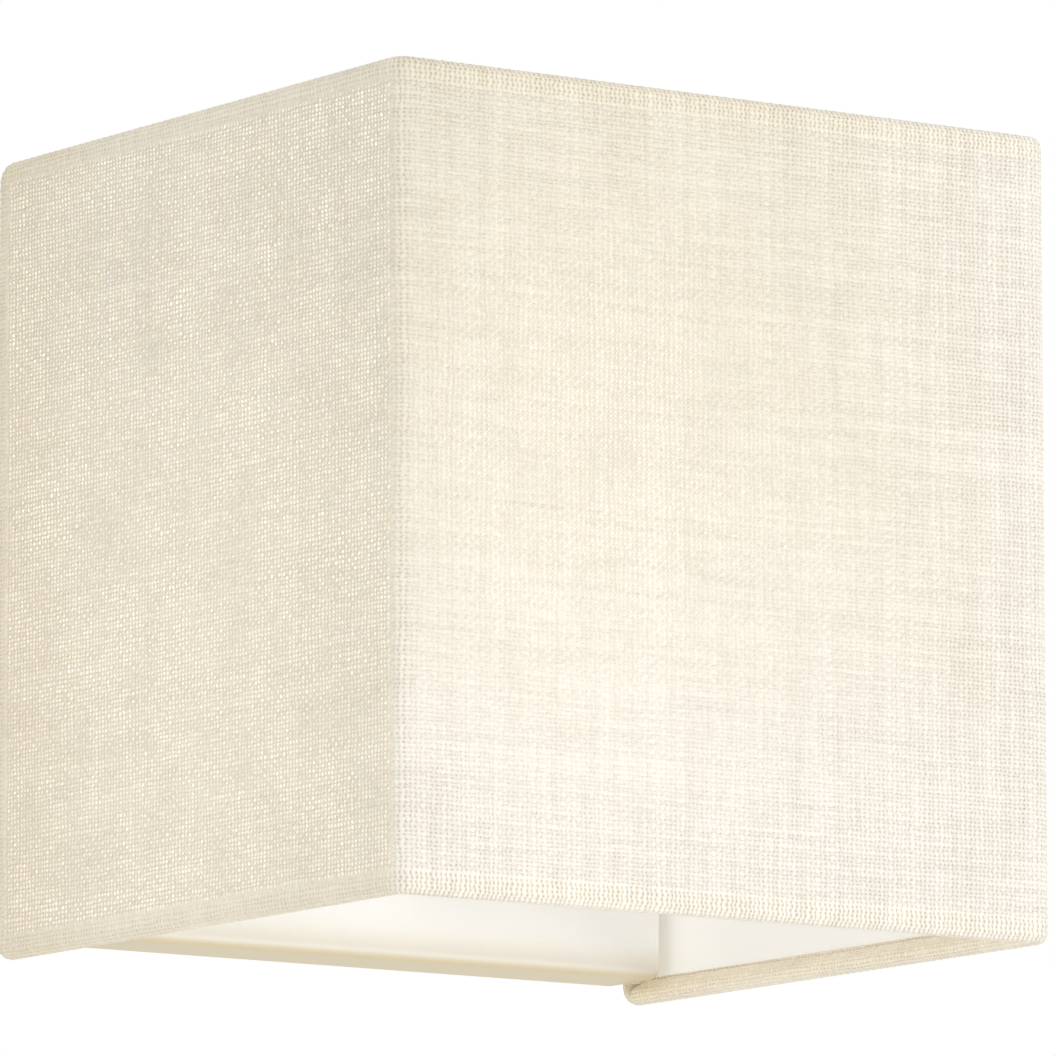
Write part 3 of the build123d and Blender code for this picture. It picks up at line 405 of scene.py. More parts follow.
for name, values in (("hem", hem), ("open_weave", open_weave), ("turned_in", np.where(on_roll, 1 - hem, 0))):
    cloth_mesh.attributes.new(name, "FLOAT", "POINT").data.foreach_set("value", values)
cloth_mesh.polygons.foreach_set("use_smooth", np.ones(len(triangles), bool))
cloth_mesh.validate()
cloth = bpy.data.objects.new("linen_cloth", cloth_mesh)
bpy.context.scene.collection.objects.link(cloth)


def vector_math(tree, operation, a, b):
    """One vector math node."""
    return put(tree, "VectorMath", {0: a, 1: b}, operation=operation).outputs[0]


def scaled(tree, colour, share):
    """A colour times a number."""
    return put(tree, "VectorMath", {0: colour, 3: share}, operation="SCALE").outputs[0]


def two_tone(tree, share, dark, light):
    """A colour that goes from dark to light as share goes from 0 to 1."""
    ramp = put(tree, "ValToRGB", {0: share})
    ramp.color_ramp.elements[0].color = (*dark, 1)
    ramp.color_ramp.elements[1].color = (*light, 1)
    return ramp.outputs[0]


def give_off(tree, surface, colour):
    """Light that a surface gives off, from the lamp."""
    tree.links.new(colour, surface.inputs["Emission Color"])
    surface.inputs["Emission Strength"].default_value = 1.0


# The linen's finish. Every yarn strays a little from its place, and has its own tone and its own
# slubs. At a crossing the higher yarn shows. Between the yarns are pits, and the open ones let light
# through. The chain is the row of dents that the fold draws into the hem.
FRONT_FROM, FRONT_FULL = -0.1558, -0.1594  # where a front corner comes round into the front
LEFT_FACE = -0.0868
LAP_EDGE = (LAP_WIDTH - SHADE_DEPTH) * MM
LAP_BLUR = 0.0004
LINEN_DARK, LINEN_LIGHT = (0.762, 0.688, 0.560), (0.925, 0.866, 0.748)
# Painted shade in the pits between the yarns: how much of each colour it takes, most of the blue.
PIT_SHADE_BROWN = (0.11, 0.15, 0.30)  # what a sunk pit takes from the colour
SIDE_HOLE, FRONT_HOLE = (0.62, 0.56, 0.455, 1), (0.58, 0.565, 0.525, 1)
GLOW_COLOUR = (1.0, 0.85, 0.58)
SLUB_WIDTH, TONE_WIDTH = 0.28, 0.05  # how much slubs, and tone, change a yarn's width
WAVE_HEIGHT = 0.4
GAP_FADE = 0.55

linen, tree, surface = new_finish("slub linen", (0.82, 0.76, 0.64), 0.9)
yarn = put(tree, "UVMap", uv_map="yarns").outputs["UV"]
yarn_count = put(tree, "SeparateXYZ", {0: yarn}).outputs
place = put(tree, "TexCoord").outputs["Object"]
where = put(tree, "SeparateXYZ", {0: place}).outputs
hem_part = put(tree, "Attribute", attribute_name="hem").outputs["Fac"]
open_part = put(tree, "Attribute", attribute_name="open_weave").outputs["Fac"]
turned_in = put(tree, "Attribute", attribute_name="turned_in").outputs["Fac"]


def wander(scale, seed, amount):
    """How far a yarn strays from its place, in yarns."""
    sockets = {"Vector": yarn, "Scale": (*scale, 1), "Location": (seed, seed, 0)}
    stretched = put(tree, "Mapping", sockets).outputs[0]
    return graded(tree, patches(tree, stretched, 1.0, 2.0), -amount / 2, amount / 2)


def warmth(centre, wide, tall):
    """Soft glow of the lamp through the cloth, strongest at centre."""
    away = vector_math(tree, "SUBTRACT", place, centre)
    away = vector_math(tree, "MULTIPLY", away, (1 / wide, 1 / wide, 1 / tall))
    return between(tree, how_far(tree, away), 0.0, 1.0, 1.0, 0.0)


def yarn_set(own, other, seed, sign, size, gap_from):
    """Height, tone, slubs and gap of one set of yarns, from the counts across and along it."""
    number = reckon(tree, "ROUND", own)
    off = reckon(tree, "ABSOLUTE", reckon(tree, "SUBTRACT", own, number))
    own_seed = reckon(tree, "ADD", number, seed)
    tone = put(tree, "TexWhiteNoise", {"W": own_seed}, noise_dimensions="1D").outputs["Value"]
    lane_across = reckon(tree, "MULTIPLY", number, 7.31)
    lane_along = reckon(tree, "MULTIPLY", other, 0.06)
    lane = put(tree, "CombineXYZ", {0: lane_across, 1: lane_along}).outputs[0]
    slub = patches(tree, lane, 1.0, 3.0)
    width = reckon(tree, "MULTIPLY_ADD", slub, SLUB_WIDTH, size - SLUB_WIDTH / 2)
    width = reckon(tree, "MULTIPLY_ADD", tone, TONE_WIDTH, width)
    part = reckon(tree, "DIVIDE", off, width)
    round_top = reckon(tree, "MULTIPLY_ADD", part, reckon(tree, "MULTIPLY", part, -1.0), 1.0)
    bulge = reckon(tree, "SQRT", reckon(tree, "MAXIMUM", round_top, 0.0))
    crossing = reckon(tree, "MULTIPLY", reckon(tree, "ADD", number, other), math.pi)
    high = reckon(tree, "MULTIPLY_ADD", reckon(tree, "COSINE", crossing), WAVE_HEIGHT * sign, bulge)
    return high, tone, slub, between(tree, part, gap_from, gap_from + GAP_FADE)


# Which part of the shade a place is on. The front's dents are plainer away from the lamp.
in_front = between(tree, where[1], FRONT_FROM, FRONT_FULL)
side_shade = reckon(tree, "SUBTRACT", 1.0, in_front)
lamp_behind = warmth((-0.030, -0.160, 0.005), 0.120, 0.110)
off_lamp = reckon(tree, "MULTIPLY", in_front, reckon(tree, "SUBTRACT", 1.0, lamp_behind))
hem_shown = reckon(tree, "MULTIPLY", hem_part, graded(tree, in_front, 0.3, 0.8))
chain_part = reckon(tree, "MAXIMUM", hem_shown, reckon(tree, "MULTIPLY", off_lamp, 0.45))

# The counts of warp and weft yarns with what they stray, and the warp's zigzag from pick to pick.
warp_at = reckon(tree, "ADD", yarn_count[0], wander((0.40, 0.22), 3.1, 0.9))
warp_at = reckon(tree, "ADD", warp_at, wander((0.11, 0.02), 9.4, 1.6))
weft_at = reckon(tree, "ADD", yarn_count[1], wander((0.20, 0.40), 7.7, 0.8))
weft_at = reckon(tree, "ADD", weft_at, wander((0.012, 0.10), 5.2, 1.8))
zigzag = reckon(tree, "SINE", reckon(tree, "MULTIPLY", weft_at, math.pi))
swing = graded(tree, chain_part, 0.04, 0.13)
warp_at = reckon(tree, "MULTIPLY_ADD", zigzag, swing, warp_at)

# The two sets of yarns, which of them is on top, and the pits between them.
warp_high, warp_tone, warp_slub, warp_gap = yarn_set(warp_at, weft_at, 11.0, 1, 0.42, 0.42)
weft_high, weft_tone, weft_slub, weft_gap = yarn_set(weft_at, warp_at, 47.0, -1, 0.40, 0.28)
chain_wave = reckon(tree, "COSINE", reckon(tree, "MULTIPLY", warp_at, 4.3))
chain = reckon(tree, "MULTIPLY_ADD", chain_wave, 0.35, 0.2)
warp_high = reckon(tree, "MULTIPLY_ADD", chain_part, chain, warp_high)
warp_over = reckon(tree, "GREATER_THAN", warp_high, weft_high)
high = reckon(tree, "SMOOTH_MAX", warp_high, weft_high, 0.25)
along_gap = reckon(tree, "MULTIPLY_ADD", chain_part, 0.7, weft_gap)
pit = reckon(tree, "MULTIPLY", warp_gap, reckon(tree, "MINIMUM", along_gap, 1.0))

# Which pits are open: by chance, by turns as in a checkerboard, and fewer where the cloth is dense.
fibre = patches(tree, place, 2600.0, 3.0)
cloud = patches(tree, place, 55.0, 4.0)
cell_x = reckon(tree, "FLOOR", warp_at)
cell_y = reckon(tree, "FLOOR", weft_at)
cell = put(tree, "CombineXYZ", {0: cell_x, 1: cell_y}).outputs[0]
luck = put(tree, "TexWhiteNoise", {"Vector": cell}, noise_dimensions="2D").outputs["Value"]
odd = reckon(tree, "PINGPONG", reckon(tree, "ADD", cell_x, cell_y), 1.0)
chance = reckon(tree, "MULTIPLY", luck, graded(tree, in_front, 0.55, 0.40))
by_turns = reckon(tree, "MULTIPLY", odd, graded(tree, in_front, -0.22, -0.08))
opening = reckon(tree, "ADD", reckon(tree, "ADD", chance, by_turns), 0.58)
opening = reckon(tree, "MULTIPLY", opening, between(tree, cloud, 0.25, 0.6, 0.75, 1.1))
opening = reckon(tree, "MAXIMUM", reckon(tree, "MULTIPLY", opening, open_part), 0.0)
light_dot = reckon(tree, "MULTIPLY", pit, opening)
light_dot = reckon(tree, "MULTIPLY", light_dot, graded(tree, off_lamp, 1.0, 0.2))
light_dot = reckon(tree, "MULTIPLY", light_dot, graded(tree, in_front, 1.35, 1.0))

# The yarns' own colour, by their tone, slubs, fibres and the cloth's clouds.
tone_step = reckon(tree, "SUBTRACT", warp_tone, weft_tone)
tone = reckon(tree, "MULTIPLY_ADD", warp_over, tone_step, weft_tone)
slub = reckon(tree, "ADD", warp_slub, weft_slub)
lightness = reckon(tree, "MULTIPLY_ADD", tone, 0.12, reckon(tree, "MULTIPLY", slub, 0.20))
lightness = reckon(tree, "MULTIPLY_ADD", fibre, 0.30, lightness)
lightness = reckon(tree, "MULTIPLY_ADD", cloud, 0.12, lightness)
linen_colour = two_tone(tree, between(tree, lightness, 0.14, 0.74), LINEN_DARK, LINEN_LIGHT)

# Painted light and shade in the weave: painted shade in the pits and low between the yarns, painted
# highlights on the yarns' crowns, and painted shade on the left where the liner's lap lies behind.
on_left = reckon(tree, "LESS_THAN", where[0], LEFT_FACE)
in_lap = between(tree, where[1], LAP_EDGE - LAP_BLUR, LAP_EDGE + LAP_BLUR, 1.0, 0.0)
lap = reckon(tree, "MULTIPLY", on_left, in_lap)
from_lap_edge = reckon(tree, "ABSOLUTE", reckon(tree, "SUBTRACT", where[1], LAP_EDGE))
lap_edge_shade = reckon(tree, "MULTIPLY", on_left, between(tree, from_lap_edge, 0.0002, 0.0009, 1.0, 0.0))
in_field = reckon(tree, "MULTIPLY", off_lamp, graded(tree, open_part, 0.05, 0.33))
pit_shade = reckon(tree, "MULTIPLY", pit, reckon(tree, "MAXIMUM", hem_shown, in_field))
recess_shade = graded(tree, hem_part, 0.87, 0.92)
crown_highlight = graded(tree, chain_part, 1.06, 1.08)
# Painted shade and highlights: darker in the pits and low between the yarns, lighter on the crowns.
dark = graded(tree, pit_shade, 1.0, 0.95)
dark = reckon(tree, "MULTIPLY", dark, between(tree, high, 0.1, 1.1, recess_shade, crown_highlight))
# Painted shade where the liner's lap lies behind the cloth, darker along the lap's edge.
dark = reckon(tree, "MULTIPLY_ADD", lap, -0.01, dark)
dark = reckon(tree, "MULTIPLY_ADD", lap_edge_shade, -0.05, dark)
linen_colour = scaled(tree, linen_colour, dark)
# The painted shade in the pits takes more blue than red, so it turns brown.
brown = vector_math(tree, "MULTIPLY", linen_colour, scaled(tree, PIT_SHADE_BROWN, pit_shade))
linen_colour = vector_math(tree, "SUBTRACT", linen_colour, brown)

# Painted light and shade by place on the shade: whiter low on the front and towards its right, where
# the daylight falls; darker and creamier towards the wall; painted shade by the left front corner and
# on the sides; painted light where the weave is closed; a warmer, darker painted lamplight tint where
# the lamp is behind.
low_down = between(tree, where[2], 0.05, -0.085)
to_right = between(tree, where[0], 0.0, 0.09, 0.0, 0.8)
painted_daylight = reckon(tree, "MULTIPLY", reckon(tree, "MAXIMUM", low_down, to_right), in_front)
painted_daylight = reckon(tree, "MULTIPLY", painted_daylight, graded(tree, pit, 1.0, 0.4))
by_wall = between(tree, where[1], -0.055, -0.004)
corner_shade = reckon(tree, "MULTIPLY", in_front, between(tree, where[0], -0.045, -0.086))
front_hem = reckon(tree, "MULTIPLY", in_front, hem_part)
closed = reckon(tree, "SUBTRACT", 1.0, open_part)
closed = reckon(tree, "MULTIPLY", closed, reckon(tree, "SUBTRACT", 1.0, front_hem))
lamp_tint = reckon(tree, "MULTIPLY", lamp_behind, in_front)
painted_light_tint = (0.97, 0.97, 0.965)
for operation, colour, share in (
    ("ADD", (0.078, 0.106, 0.208), painted_daylight),
    ("SUBTRACT", (0.030, 0.050, 0.095), by_wall),
    ("SUBTRACT", (0.048, 0.048, 0.048), corner_shade),
    ("ADD", (0.08, 0.08, 0.075), closed),
    ("SUBTRACT", (0.036, 0.036, 0.042), side_shade),
    ("SUBTRACT", (0.020, 0.032, 0.050), lamp_tint),
):
    painted_light_tint = vector_math(tree, operation, painted_light_tint, scaled(tree, colour, share))
tree.links.new(vector_math(tree, "MULTIPLY", linen_colour, painted_light_tint), surface.inputs["Base Color"])

# The lamp's glow through the front, the left side and what is turned in, and the light in the holes.
front_glow = reckon(tree, "MULTIPLY", warmth((-0.010, -0.160, -0.005), 0.17, 0.15), 0.022)
side_glow = reckon(tree, "MULTIPLY", warmth((-0.0875, -0.080, -0.035), 0.18, 0.17), 0.095)
inner_glow = reckon(tree, "MULTIPLY", turned_in, 0.17)
cloth_glow = reckon(tree, "MAXIMUM", reckon(tree, "MAXIMUM", front_glow, side_glow), inner_glow)
hole_sockets = {0: in_front, 6: SIDE_HOLE, 7: FRONT_HOLE}
hole_colour = put(tree, "Mix", hole_sockets, data_type="RGBA").outputs[2]
lit_hole = scaled(tree, hole_colour, light_dot)
give_off(tree, surface, vector_math(tree, "ADD", scaled(tree, GLOW_COLOUR, cloth_glow), lit_hole))
surface.inputs["Sheen Weight"].default_value = 0.1
surface.inputs["Sheen Roughness"].default_value = 0.5
depth = graded(tree, hem_part, 1.0, 0.65)
weave_height = reckon(tree, "MULTIPLY", reckon(tree, "MULTIPLY_ADD", fibre, 0.35, high), depth)
roughen(tree, surface, weave_height, 1.0, 0.0003)
cloth_mesh.materials.append(linen)
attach(cloth, "shade")
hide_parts("shade_cloth")


# Liner: a stiff white plastic sheet that the cloth is glued to, with a second narrow sheet lapped
# behind it on the left, next to the front corner. It gives off painted light low down, where the lamp
# lights it, and near the wall.
def dress(finish, *nodes):
    """Gives CAD nodes a finish."""
    for name in nodes:
        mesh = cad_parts[name].data
        mesh.materials.clear()
        mesh.materials.append(finish)


LAMPLIGHT = (1.0, 0.97, 0.90)
liner_finish, tree, surface = new_finish("liner sheet", (0.86, 0.85, 0.81), 0.38)
place = put(tree, "TexCoord").outputs["Object"]
where = put(tree, "SeparateXYZ", {0: place}).outputs
white = two_tone(tree, patches(tree, place, 35.0, 3.0), (0.87, 0.865, 0.835), (0.91, 0.907, 0.885))
tree.links.new(white, surface.inputs["Base Color"])
lit_low = between(tree, where[2], 0.0, -0.07, 0.02, 0.18)
lit_at_wall = between(tree, where[1], -0.045, -0.008, 0.0, 0.06)
give_off(tree, surface, scaled(tree, LAMPLIGHT, reckon(tree, "ADD", lit_low, lit_at_wall)))
roughen(tree, surface, patches(tree, place, 900.0, 2.0), 0.12, 0.0002)
dress(liner_finish, "shade_liner", "liner_lap")


# Hem wire and front uprights: the shade's frame, bent and welded from round mild steel and bright zinc
# plated. The cloth is rolled round the wire, and an upright stands in each front corner.
def plated(name, dull, bright, rough_low, rough_high, scale=260.0):
    """Bare or plated metal: cloudy colour and gloss, and fine marks."""
    finish, tree, surface = new_finish(name, bright, rough_low, 1.0)
    place = put(tree, "TexCoord").outputs["Object"]
    cloud = patches(tree, place, scale, 5.0)
    colour = two_tone(tree, between(tree, cloud, 0.35, 0.65), dull, bright)
    tree.links.new(colour, surface.inputs["Base Color"])
    tree.links.new(between(tree, cloud, 0.3, 0.7, rough_high, rough_low), surface.inputs["Roughness"])
    roughen(tree, surface, patches(tree, place, scale * 12, 2.0), 0.1, 0.0001)
    return finish


zinc = plated("bright zinc", (0.62, 0.63, 0.64), (0.71, 0.72, 0.73), 0.26, 0.38, 420.0)
dress(zinc, "hem_wire", "front_upright_left", "front_upright_right")

# Back pan, fitter bar and holder bracket: sheet steel, pressed or bent, with a white powder coat that
# has a fine orange-peel skin. Low on the pan's front, and on its underside, the white is mixed towards
# cream: painted shade. The faces that look forwards glow a little where the lamp lights them.
COAT_SHADE_CREAM = (0.75, 0.64, 0.42, 1)
coat, tree, surface = new_finish("white powder coat", (0.90, 0.89, 0.86), 0.42)
place = put(tree, "TexCoord").outputs["Object"]
height = put(tree, "SeparateXYZ", {0: place}).outputs[2]
facing = put(tree, "SeparateXYZ", {0: put(tree, "TexCoord").outputs["Normal"]}).outputs
white = two_tone(tree, patches(tree, place, 30.0, 3.0), (0.88, 0.87, 0.84), (0.905, 0.90, 0.88))
face_down = between(tree, facing[2], 0.05, -0.85)
# Painted shade, cream in tone: on the faces under the pan, and in a band low on its front.
low_edge_shade = reckon(tree, "MULTIPLY", face_down, between(tree, height, -0.080, -0.083))
low_edge_shade = reckon(tree, "MAXIMUM", low_edge_shade, between(tree, height, -0.0745, -0.0845, 0.0, 0.42))
cream = put(tree, "Mix", {0: low_edge_shade, 6: white, 7: COAT_SHADE_CREAM}, data_type="RGBA").outputs[2]
tree.links.new(cream, surface.inputs["Base Color"])
face_front = between(tree, facing[1], -0.3, -0.95)
lit = reckon(tree, "MULTIPLY", face_front, between(tree, height, -0.025, -0.070, 0.0, 0.15))
lit = reckon(tree, "MULTIPLY", lit, between(tree, height, -0.0865, -0.077))
give_off(tree, surface, scaled(tree, LAMPLIGHT, lit))
roughen(tree, surface, patches(tree, place, 1400.0, 2.0), 0.18, 0.0003)
dress(coat, "back_pan", "fitter_bar", "holder_bracket")


# Studs, washers and thumb nuts: two M4 studs clinched into the pan carry the fitter bar, and a plain
# washer and a knurled thumb nut lock each of its slots. The studs' rolled thread is real here.
def spun(name, outline, move, bite=0.0, pitch=1.0, around=96):
    """A turned mesh from a closed outline of radius, height and share of the thread's depth."""
    turns = np.linspace(0, 2 * math.pi, around, endpoint=False)
    radius, height, share = (np.array(column)[:, None] for column in zip(*outline))
    groove = 0.5 - 0.5 * np.cos(2 * math.pi * height / pitch - turns[None, :])
    reach = radius - bite * share * groove
    verts = np.stack([reach * np.cos(turns), reach * np.sin(turns), height + 0 * reach], axis=-1)
    index = np.arange(len(outline) * around).reshape(len(outline), around)
    below, above = index, np.roll(index, -1, axis=0)
    quads = np.stack([below, np.roll(below, -1, axis=1), np.roll(above, -1, axis=1), above], axis=-1)
    mesh = bpy.data.meshes.new(name)
    mesh.from_pydata((verts.reshape(-1, 3) * MM).tolist(), [], quads.reshape(-1, 4).tolist())
    mesh.transform(move)
    work = bmesh.new()
    work.from_mesh(mesh)
    bmesh.ops.remove_doubles(work, verts=work.verts, dist=0.000004)
    bmesh.ops.dissolve_degenerate(work, edges=work.edges, dist=0.000002)
    bmesh.ops.recalc_face_normals(work, faces=work.faces)
    work.to_mesh(mesh)
    work.free()
    mesh.shade_smooth()
    mesh.set_sharp_from_angle(angle=math.radians(40))
    piece = bpy.data.objects.new(name, mesh)
    bpy.context.scene.collection.objects.link(piece)
    return piece


def thread_rows(radius, start, end, pitch, fade):
    """Outline points along a threaded stretch, the thread running out at both ends."""
    rows = []
    for height in np.arange(start, end, pitch / 10):
        share = min(1.0, (height - start) / fade, (end - height) / fade)
        rows.append((radius, float(height), max(share, 0.0)))
    return rows


STUD_X, STUD_Z = 70.0, 30.0
STUD_BASE = -16.2
STUD_RADIUS, STUD_HEAD_RADIUS, STUD_LENGTH = 2.0, 3.5, 10.8
STUD_PITCH, STUD_BITE = 0.7, 0.42
stud_outline = [(0, 0, 0), (3.1, 0, 0), (STUD_HEAD_RADIUS, 0.2, 0), (STUD_HEAD_RADIUS, 0.8, 0)]
stud_outline += [(STUD_RADIUS, 0.8, 0), (STUD_RADIUS, 1.9, 0)]
stud_outline += thread_rows(STUD_RADIUS, 2.0, 10.5, STUD_PITCH, 0.5)
stud_outline += [(STUD_RADIUS, 10.5, 0), (1.55, STUD_LENGTH, 0), (0, STUD_LENGTH, 0)]
stud_turn = Matrix.Rotation(math.radians(90), 4, "X")
for side, x in (("left", -STUD_X), ("right", STUD_X)):
    stud_place = Matrix.Translation((x * MM, STUD_BASE * MM, STUD_Z * MM)) @ stud_turn
    stud = spun(f"shade_stud_{side}_threaded", stud_outline, stud_place, STUD_BITE, STUD_PITCH, 32)
    stud.data.materials.append(zinc)
    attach(stud, "wall_fitting")
    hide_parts("shade_studs")
nickel = plated("nickel plate", (0.66, 0.63, 0.57), (0.80, 0.77, 0.71), 0.16, 0.3)
dress(nickel, "thumb_nut_left", "thumb_nut_right", "thumb_washer_left", "thumb_washer_right")

# Wall strap and steel screws: a slotted strip screwed to the wall, and the two long screws that pull
# the pan onto it; the small screws and nuts of the bracket, the earth and the terminal block. All are
# bright zinc plated.
dress(zinc, "wall_strap", "pan_screws", "bracket_screws", "bracket_nuts", "holder_screws",
      "earth_stud", "earth_nut", "block_screws")


# Lampholder: glazed porcelain on the bracket's foot, with a pressed screw shell and a springy brass
# strip under the lamp's tip. The shell's rolled thread matches the lamp's cap.
def moulded(name, low, high, rough, scale, grain, depth, coat_weight=0.0):
    """Glaze, plastic or rubber: clouded colour and a fine skin."""
    finish, tree, surface = new_finish(name, high, rough)
    place = put(tree, "TexCoord").outputs["Object"]
    cloud = patches(tree, place, scale, 4.0)
    colour = two_tone(tree, between(tree, cloud, 0.3, 0.7), low, high)
    tree.links.new(colour, surface.inputs["Base Color"])
    tree.links.new(between(tree, cloud, 0.2, 0.8, rough * 1.25, rough * 0.85), surface.inputs["Roughness"])
    roughen(tree, surface, patches(tree, place, grain, 3.0), 0.15, depth)
    surface.inputs["Coat Weight"].default_value = coat_weight
    return finish


LAMP_Y = -62.0
LAMP_TIP = -51.3
LAMP_PITCH = 3.629
LAMP_BITE = 0.95
THREAD_FADE = 1.6
SHELL_RADIUS, SHELL_WALL, SHELL_TOP, SHELL_FOOT = 13.3, 0.35, 22.8, -0.2
lamp_place = Matrix.Translation((0, LAMP_Y * MM, LAMP_TIP * MM))
porcelain = moulded("glazed porcelain", (0.84, 0.835, 0.80), (0.90, 0.895, 0.865), 0.10, 90, 500, 0.0004, 0.4)
dress(porcelain, "holder_body")
shell_outside = SHELL_RADIUS + SHELL_WALL
shell_thread = thread_rows(SHELL_RADIUS, 2.2, 19.0, LAMP_PITCH, THREAD_FADE)
shell_outline = [(11.5, SHELL_FOOT, 0), (11.5, 0.15, 0), (SHELL_RADIUS, 0.15, 0), *shell_thread]
shell_outline += [(SHELL_RADIUS, SHELL_TOP, 0), (shell_outside, SHELL_TOP, 0)]
shell_outline += [(shell_outside, height, share) for _, height, share in reversed(shell_thread)]
shell_outline += [(shell_outside, SHELL_FOOT, 0)]
shell = spun("holder_shell_threaded", shell_outline, lamp_place, LAMP_BITE, LAMP_PITCH)
shell.data.materials.append(nickel)
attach(shell, "wall_fitting")
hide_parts("holder_shell")
brass = plated("bare brass", (0.62, 0.45, 0.20), (0.82, 0.62, 0.30), 0.2, 0.38)
dress(brass, "holder_contact")

# Lamp: an opal globe on a moulded plastic neck, with a thin metal screw cap, a black glass insulator
# and a brass tip. It is lit. The light that it throws on the shade and the pan is in their finishes.
CAP_RADIUS, CAP_INSIDE = 13.2, 12.9
cap_thread = thread_rows(CAP_RADIUS, 9.0, 21.8, LAMP_PITCH, THREAD_FADE)
cap_outline = [(7.0, 4.5, 0), (9.0, 4.5, 0), (10.6, 5.3, 0), (12.4, 7.2, 0), (CAP_RADIUS, 8.9, 0)]
cap_outline += [*cap_thread, (CAP_RADIUS, 22.4, 0), (CAP_RADIUS, 25.8, 0), (13.05, 26.0, 0)]
cap_outline += [(CAP_INSIDE, 26.0, 0)]
cap_outline += [(CAP_INSIDE, height, share) for _, height, share in reversed(cap_thread)]
cap_outline += [(CAP_INSIDE, 8.9, 0), (12.1, 7.4, 0), (10.3, 5.6, 0), (9.0, 4.9, 0), (7.0, 4.8, 0)]
cap = spun("lamp_cap_threaded", cap_outline, lamp_place, LAMP_BITE, LAMP_PITCH)
cap.data.materials.append(nickel)
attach(cap, "lamp")
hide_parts("lamp_cap")
opal, tree, surface = new_finish("lit opal glass", (0.28, 0.26, 0.22), 0.22)
place = put(tree, "TexCoord").outputs["Object"]
height = put(tree, "SeparateXYZ", {0: place}).outputs[2]
upper = between(tree, height, 0.0, 0.05, 0.0, 0.85)
brightness = reckon(tree, "MULTIPLY_ADD", patches(tree, place, 60.0, 2.0), 0.15, upper)
give_off(tree, surface, two_tone(tree, brightness, (0.93, 0.60, 0.42), (1.0, 0.70, 0.55)))
dress(opal, "lamp_globe")
plastic = moulded("lamp plastic", (0.84, 0.835, 0.81), (0.88, 0.875, 0.85), 0.35, 120, 1500, 0.0002)
dress(plastic, "lamp_neck")
dress(moulded("white board", (0.78, 0.78, 0.76), (0.84, 0.84, 0.82), 0.3, 200, 2500, 0.0001), "lamp_board")
black_glass = moulded("black glass", (0.012, 0.012, 0.014), (0.03, 0.03, 0.034), 0.1, 300, 900, 0.0003, 0.5)
dress(black_glass, "lamp_insulator")
dress(brass, "lamp_contact")

# Terminal block: a strip of three poles in milky polyamide, with a brass tube and two slotted clamp
# screws in each pole, screwed to the pan behind the shade.
dress(moulded("polyamide", (0.80, 0.79, 0.74), (0.86, 0.85, 0.81), 0.45, 160, 1200, 0.0003), "terminal_block")
dress(brass, "terminal_tubes")
dress(nickel, "terminal_screws")

# Leads: sleeved stranded wires inside the fitting, two from the block through the grommet to the
# lampholder and one to the earth ring. The strands are bared where they go into a clamp.
LEAD_RADIUS = 1.0
OUTER_STRANDS = 6  # round one in the middle
STRAND_RADIUS, STRAND_SPREAD = 0.19, 0.38
STRAND_STEPS, STEP_LENGTH, STEPS_A_TURN = 12, 0.58, 14
STRAND_INSET = 0.5
BLOCK_MOUTH, BLOCK_DROP = -26.0, -35.0
LEAD_Y = -9.5
GROMMET_X, GROMMET_Z = 1.6, -50.0
HOLDER_MOUTH, HOLDER_LEAD_X, HOLDER_LEAD_Z = -45.5, 6.0, -59.5
EARTH_Y, EARTH_Z = -15.3, -44.0


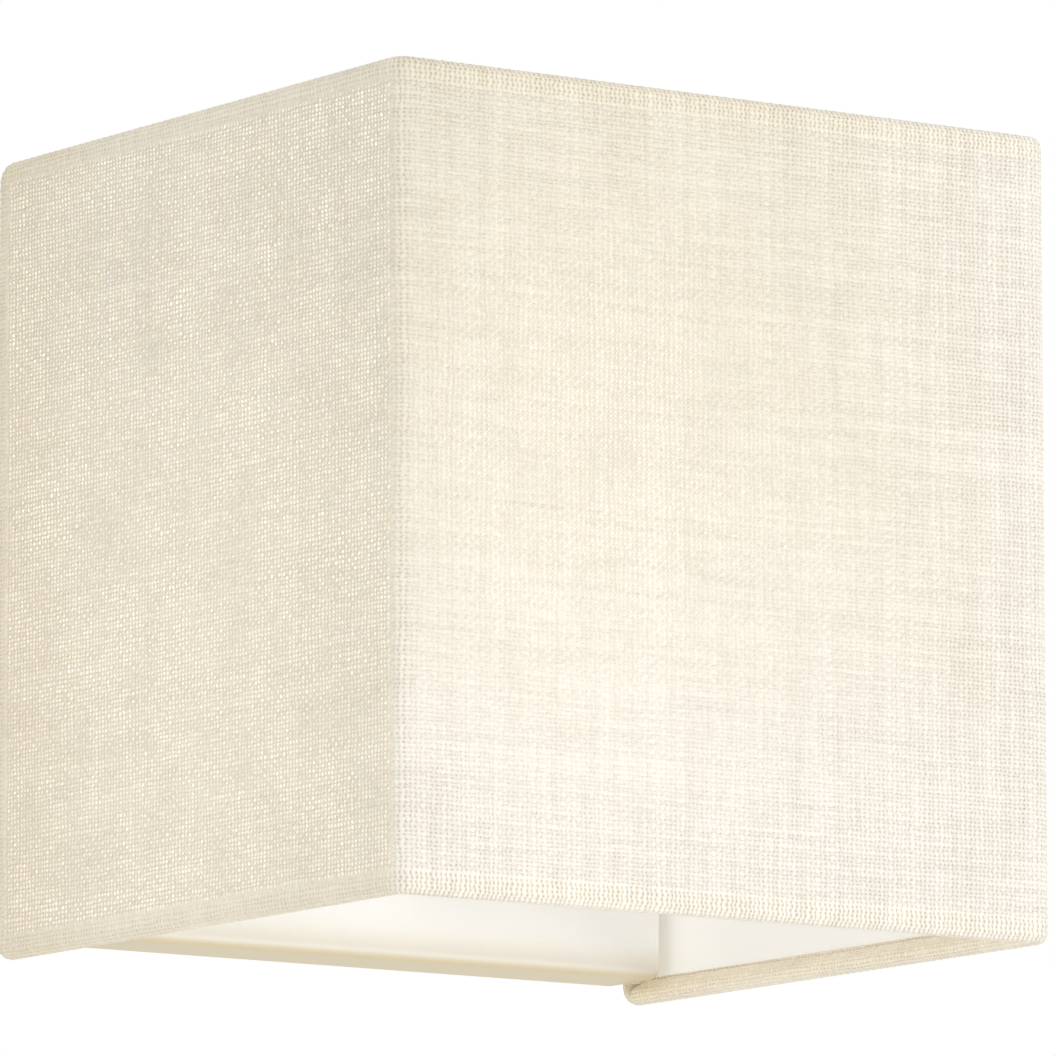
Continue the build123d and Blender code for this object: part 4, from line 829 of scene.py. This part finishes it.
def sleeved_lead(name, node, route, finish):
    """A lead along the route, with its bared strands at both ends."""
    line = bpy.data.curves.new(name, "CURVE")
    line.dimensions = "3D"
    line.bevel_depth = LEAD_RADIUS * MM
    line.bevel_resolution = 6
    line.resolution_u = 24
    line.use_fill_caps = True
    spline = line.splines.new("NURBS")
    spline.points.add(len(route) - 1)
    for point, place in zip(spline.points, route):
        point.co = (*(value * MM for value in place), 1)
    spline.order_u = 3
    spline.use_endpoint_u = True
    sleeve = bpy.data.objects.new(name, line)
    bpy.context.scene.collection.objects.link(sleeve)
    line.materials.append(finish)
    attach(sleeve, "wall_fitting")
    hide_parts(node)
    for label, place, inner in (("start", route[0], route[1]), ("end", route[-1], route[-2])):
        way = (Vector(place) - Vector(inner)).normalized()
        side = way.orthogonal().normalized()
        strands = bpy.data.curves.new(f"{name}_strands_{label}", "CURVE")
        strands.dimensions = "3D"
        strands.bevel_depth = STRAND_RADIUS * MM
        strands.bevel_resolution = 2
        for strand in range(OUTER_STRANDS + 1):
            spread = STRAND_SPREAD if strand < OUTER_STRANDS else 0.0
            wire = strands.splines.new("POLY")
            wire.points.add(STRAND_STEPS)
            for step, point in enumerate(wire.points):
                lay = math.tau * (strand / OUTER_STRANDS + step / STEPS_A_TURN)
                off = (side * math.cos(lay) + way.cross(side) * math.sin(lay)) * spread
                middle = Vector(place) + way * (STEP_LENGTH * step - STRAND_INSET)
                point.co = (*((middle + off) * MM), 1)
        bared = bpy.data.objects.new(f"{name}_strands_{label}", strands)
        bpy.context.scene.collection.objects.link(bared)
        strands.materials.append(copper)
        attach(bared, "wall_fitting")


copper = plated("copper strands", (0.70, 0.36, 0.22), (0.86, 0.50, 0.34), 0.25, 0.4)
brown = moulded("brown sleeve", (0.13, 0.05, 0.02), (0.18, 0.07, 0.03), 0.4, 300, 1500, 0.0002)
blue = moulded("blue sleeve", (0.015, 0.10, 0.38), (0.025, 0.14, 0.48), 0.4, 300, 1500, 0.0002)
earth_sleeve, tree, surface = new_finish("green and yellow sleeve", (0.05, 0.35, 0.08), 0.4)
facing = put(tree, "SeparateXYZ", {0: put(tree, "TexCoord").outputs["Normal"]}).outputs[1]
stripes = two_tone(tree, between(tree, facing, -0.12, -0.08), (0.03, 0.30, 0.06), (0.80, 0.66, 0.04))
tree.links.new(stripes, surface.inputs["Base Color"])
for name, node, x, side, length, finish, slot in (
    ("live_lead_sleeve", "live_lead", -9.0, -1, 0.0617, brown, "brown_sleeve"),
    ("neutral_lead_sleeve", "neutral_lead", 0.0, 1, 0.0605, blue, "blue_sleeve"),
):
    route = [
        (x, LEAD_Y, BLOCK_MOUTH),
        (x, LEAD_Y, BLOCK_DROP),
        (side * GROMMET_X, LEAD_Y, GROMMET_Z),
        (side * GROMMET_X, -27.0, GROMMET_Z),
        (side * HOLDER_LEAD_X, HOLDER_MOUTH + 8.5, HOLDER_LEAD_Z),
        (side * HOLDER_LEAD_X, HOLDER_MOUTH, HOLDER_LEAD_Z),
    ]
    sleeved_lead(name, node, route, finish)
route = [
    (9.0, LEAD_Y, BLOCK_MOUTH),
    (9.0, LEAD_Y, BLOCK_DROP),
    (14.0, EARTH_Y, EARTH_Z),
    (22.5, EARTH_Y, EARTH_Z),
]
sleeved_lead("earth_lead_sleeve", "earth_lead", route, earth_sleeve)

# Grommet and earth ring: a soft black bush in the pan's hole, and a brass ring crimped on the earth
# lead and held on its stud by a nut.
dress(moulded("black rubber", (0.022, 0.022, 0.023), (0.04, 0.04, 0.042), 0.6, 400, 1800, 0.0003), "grommet")
dress(brass, "earth_ring")

low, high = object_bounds()
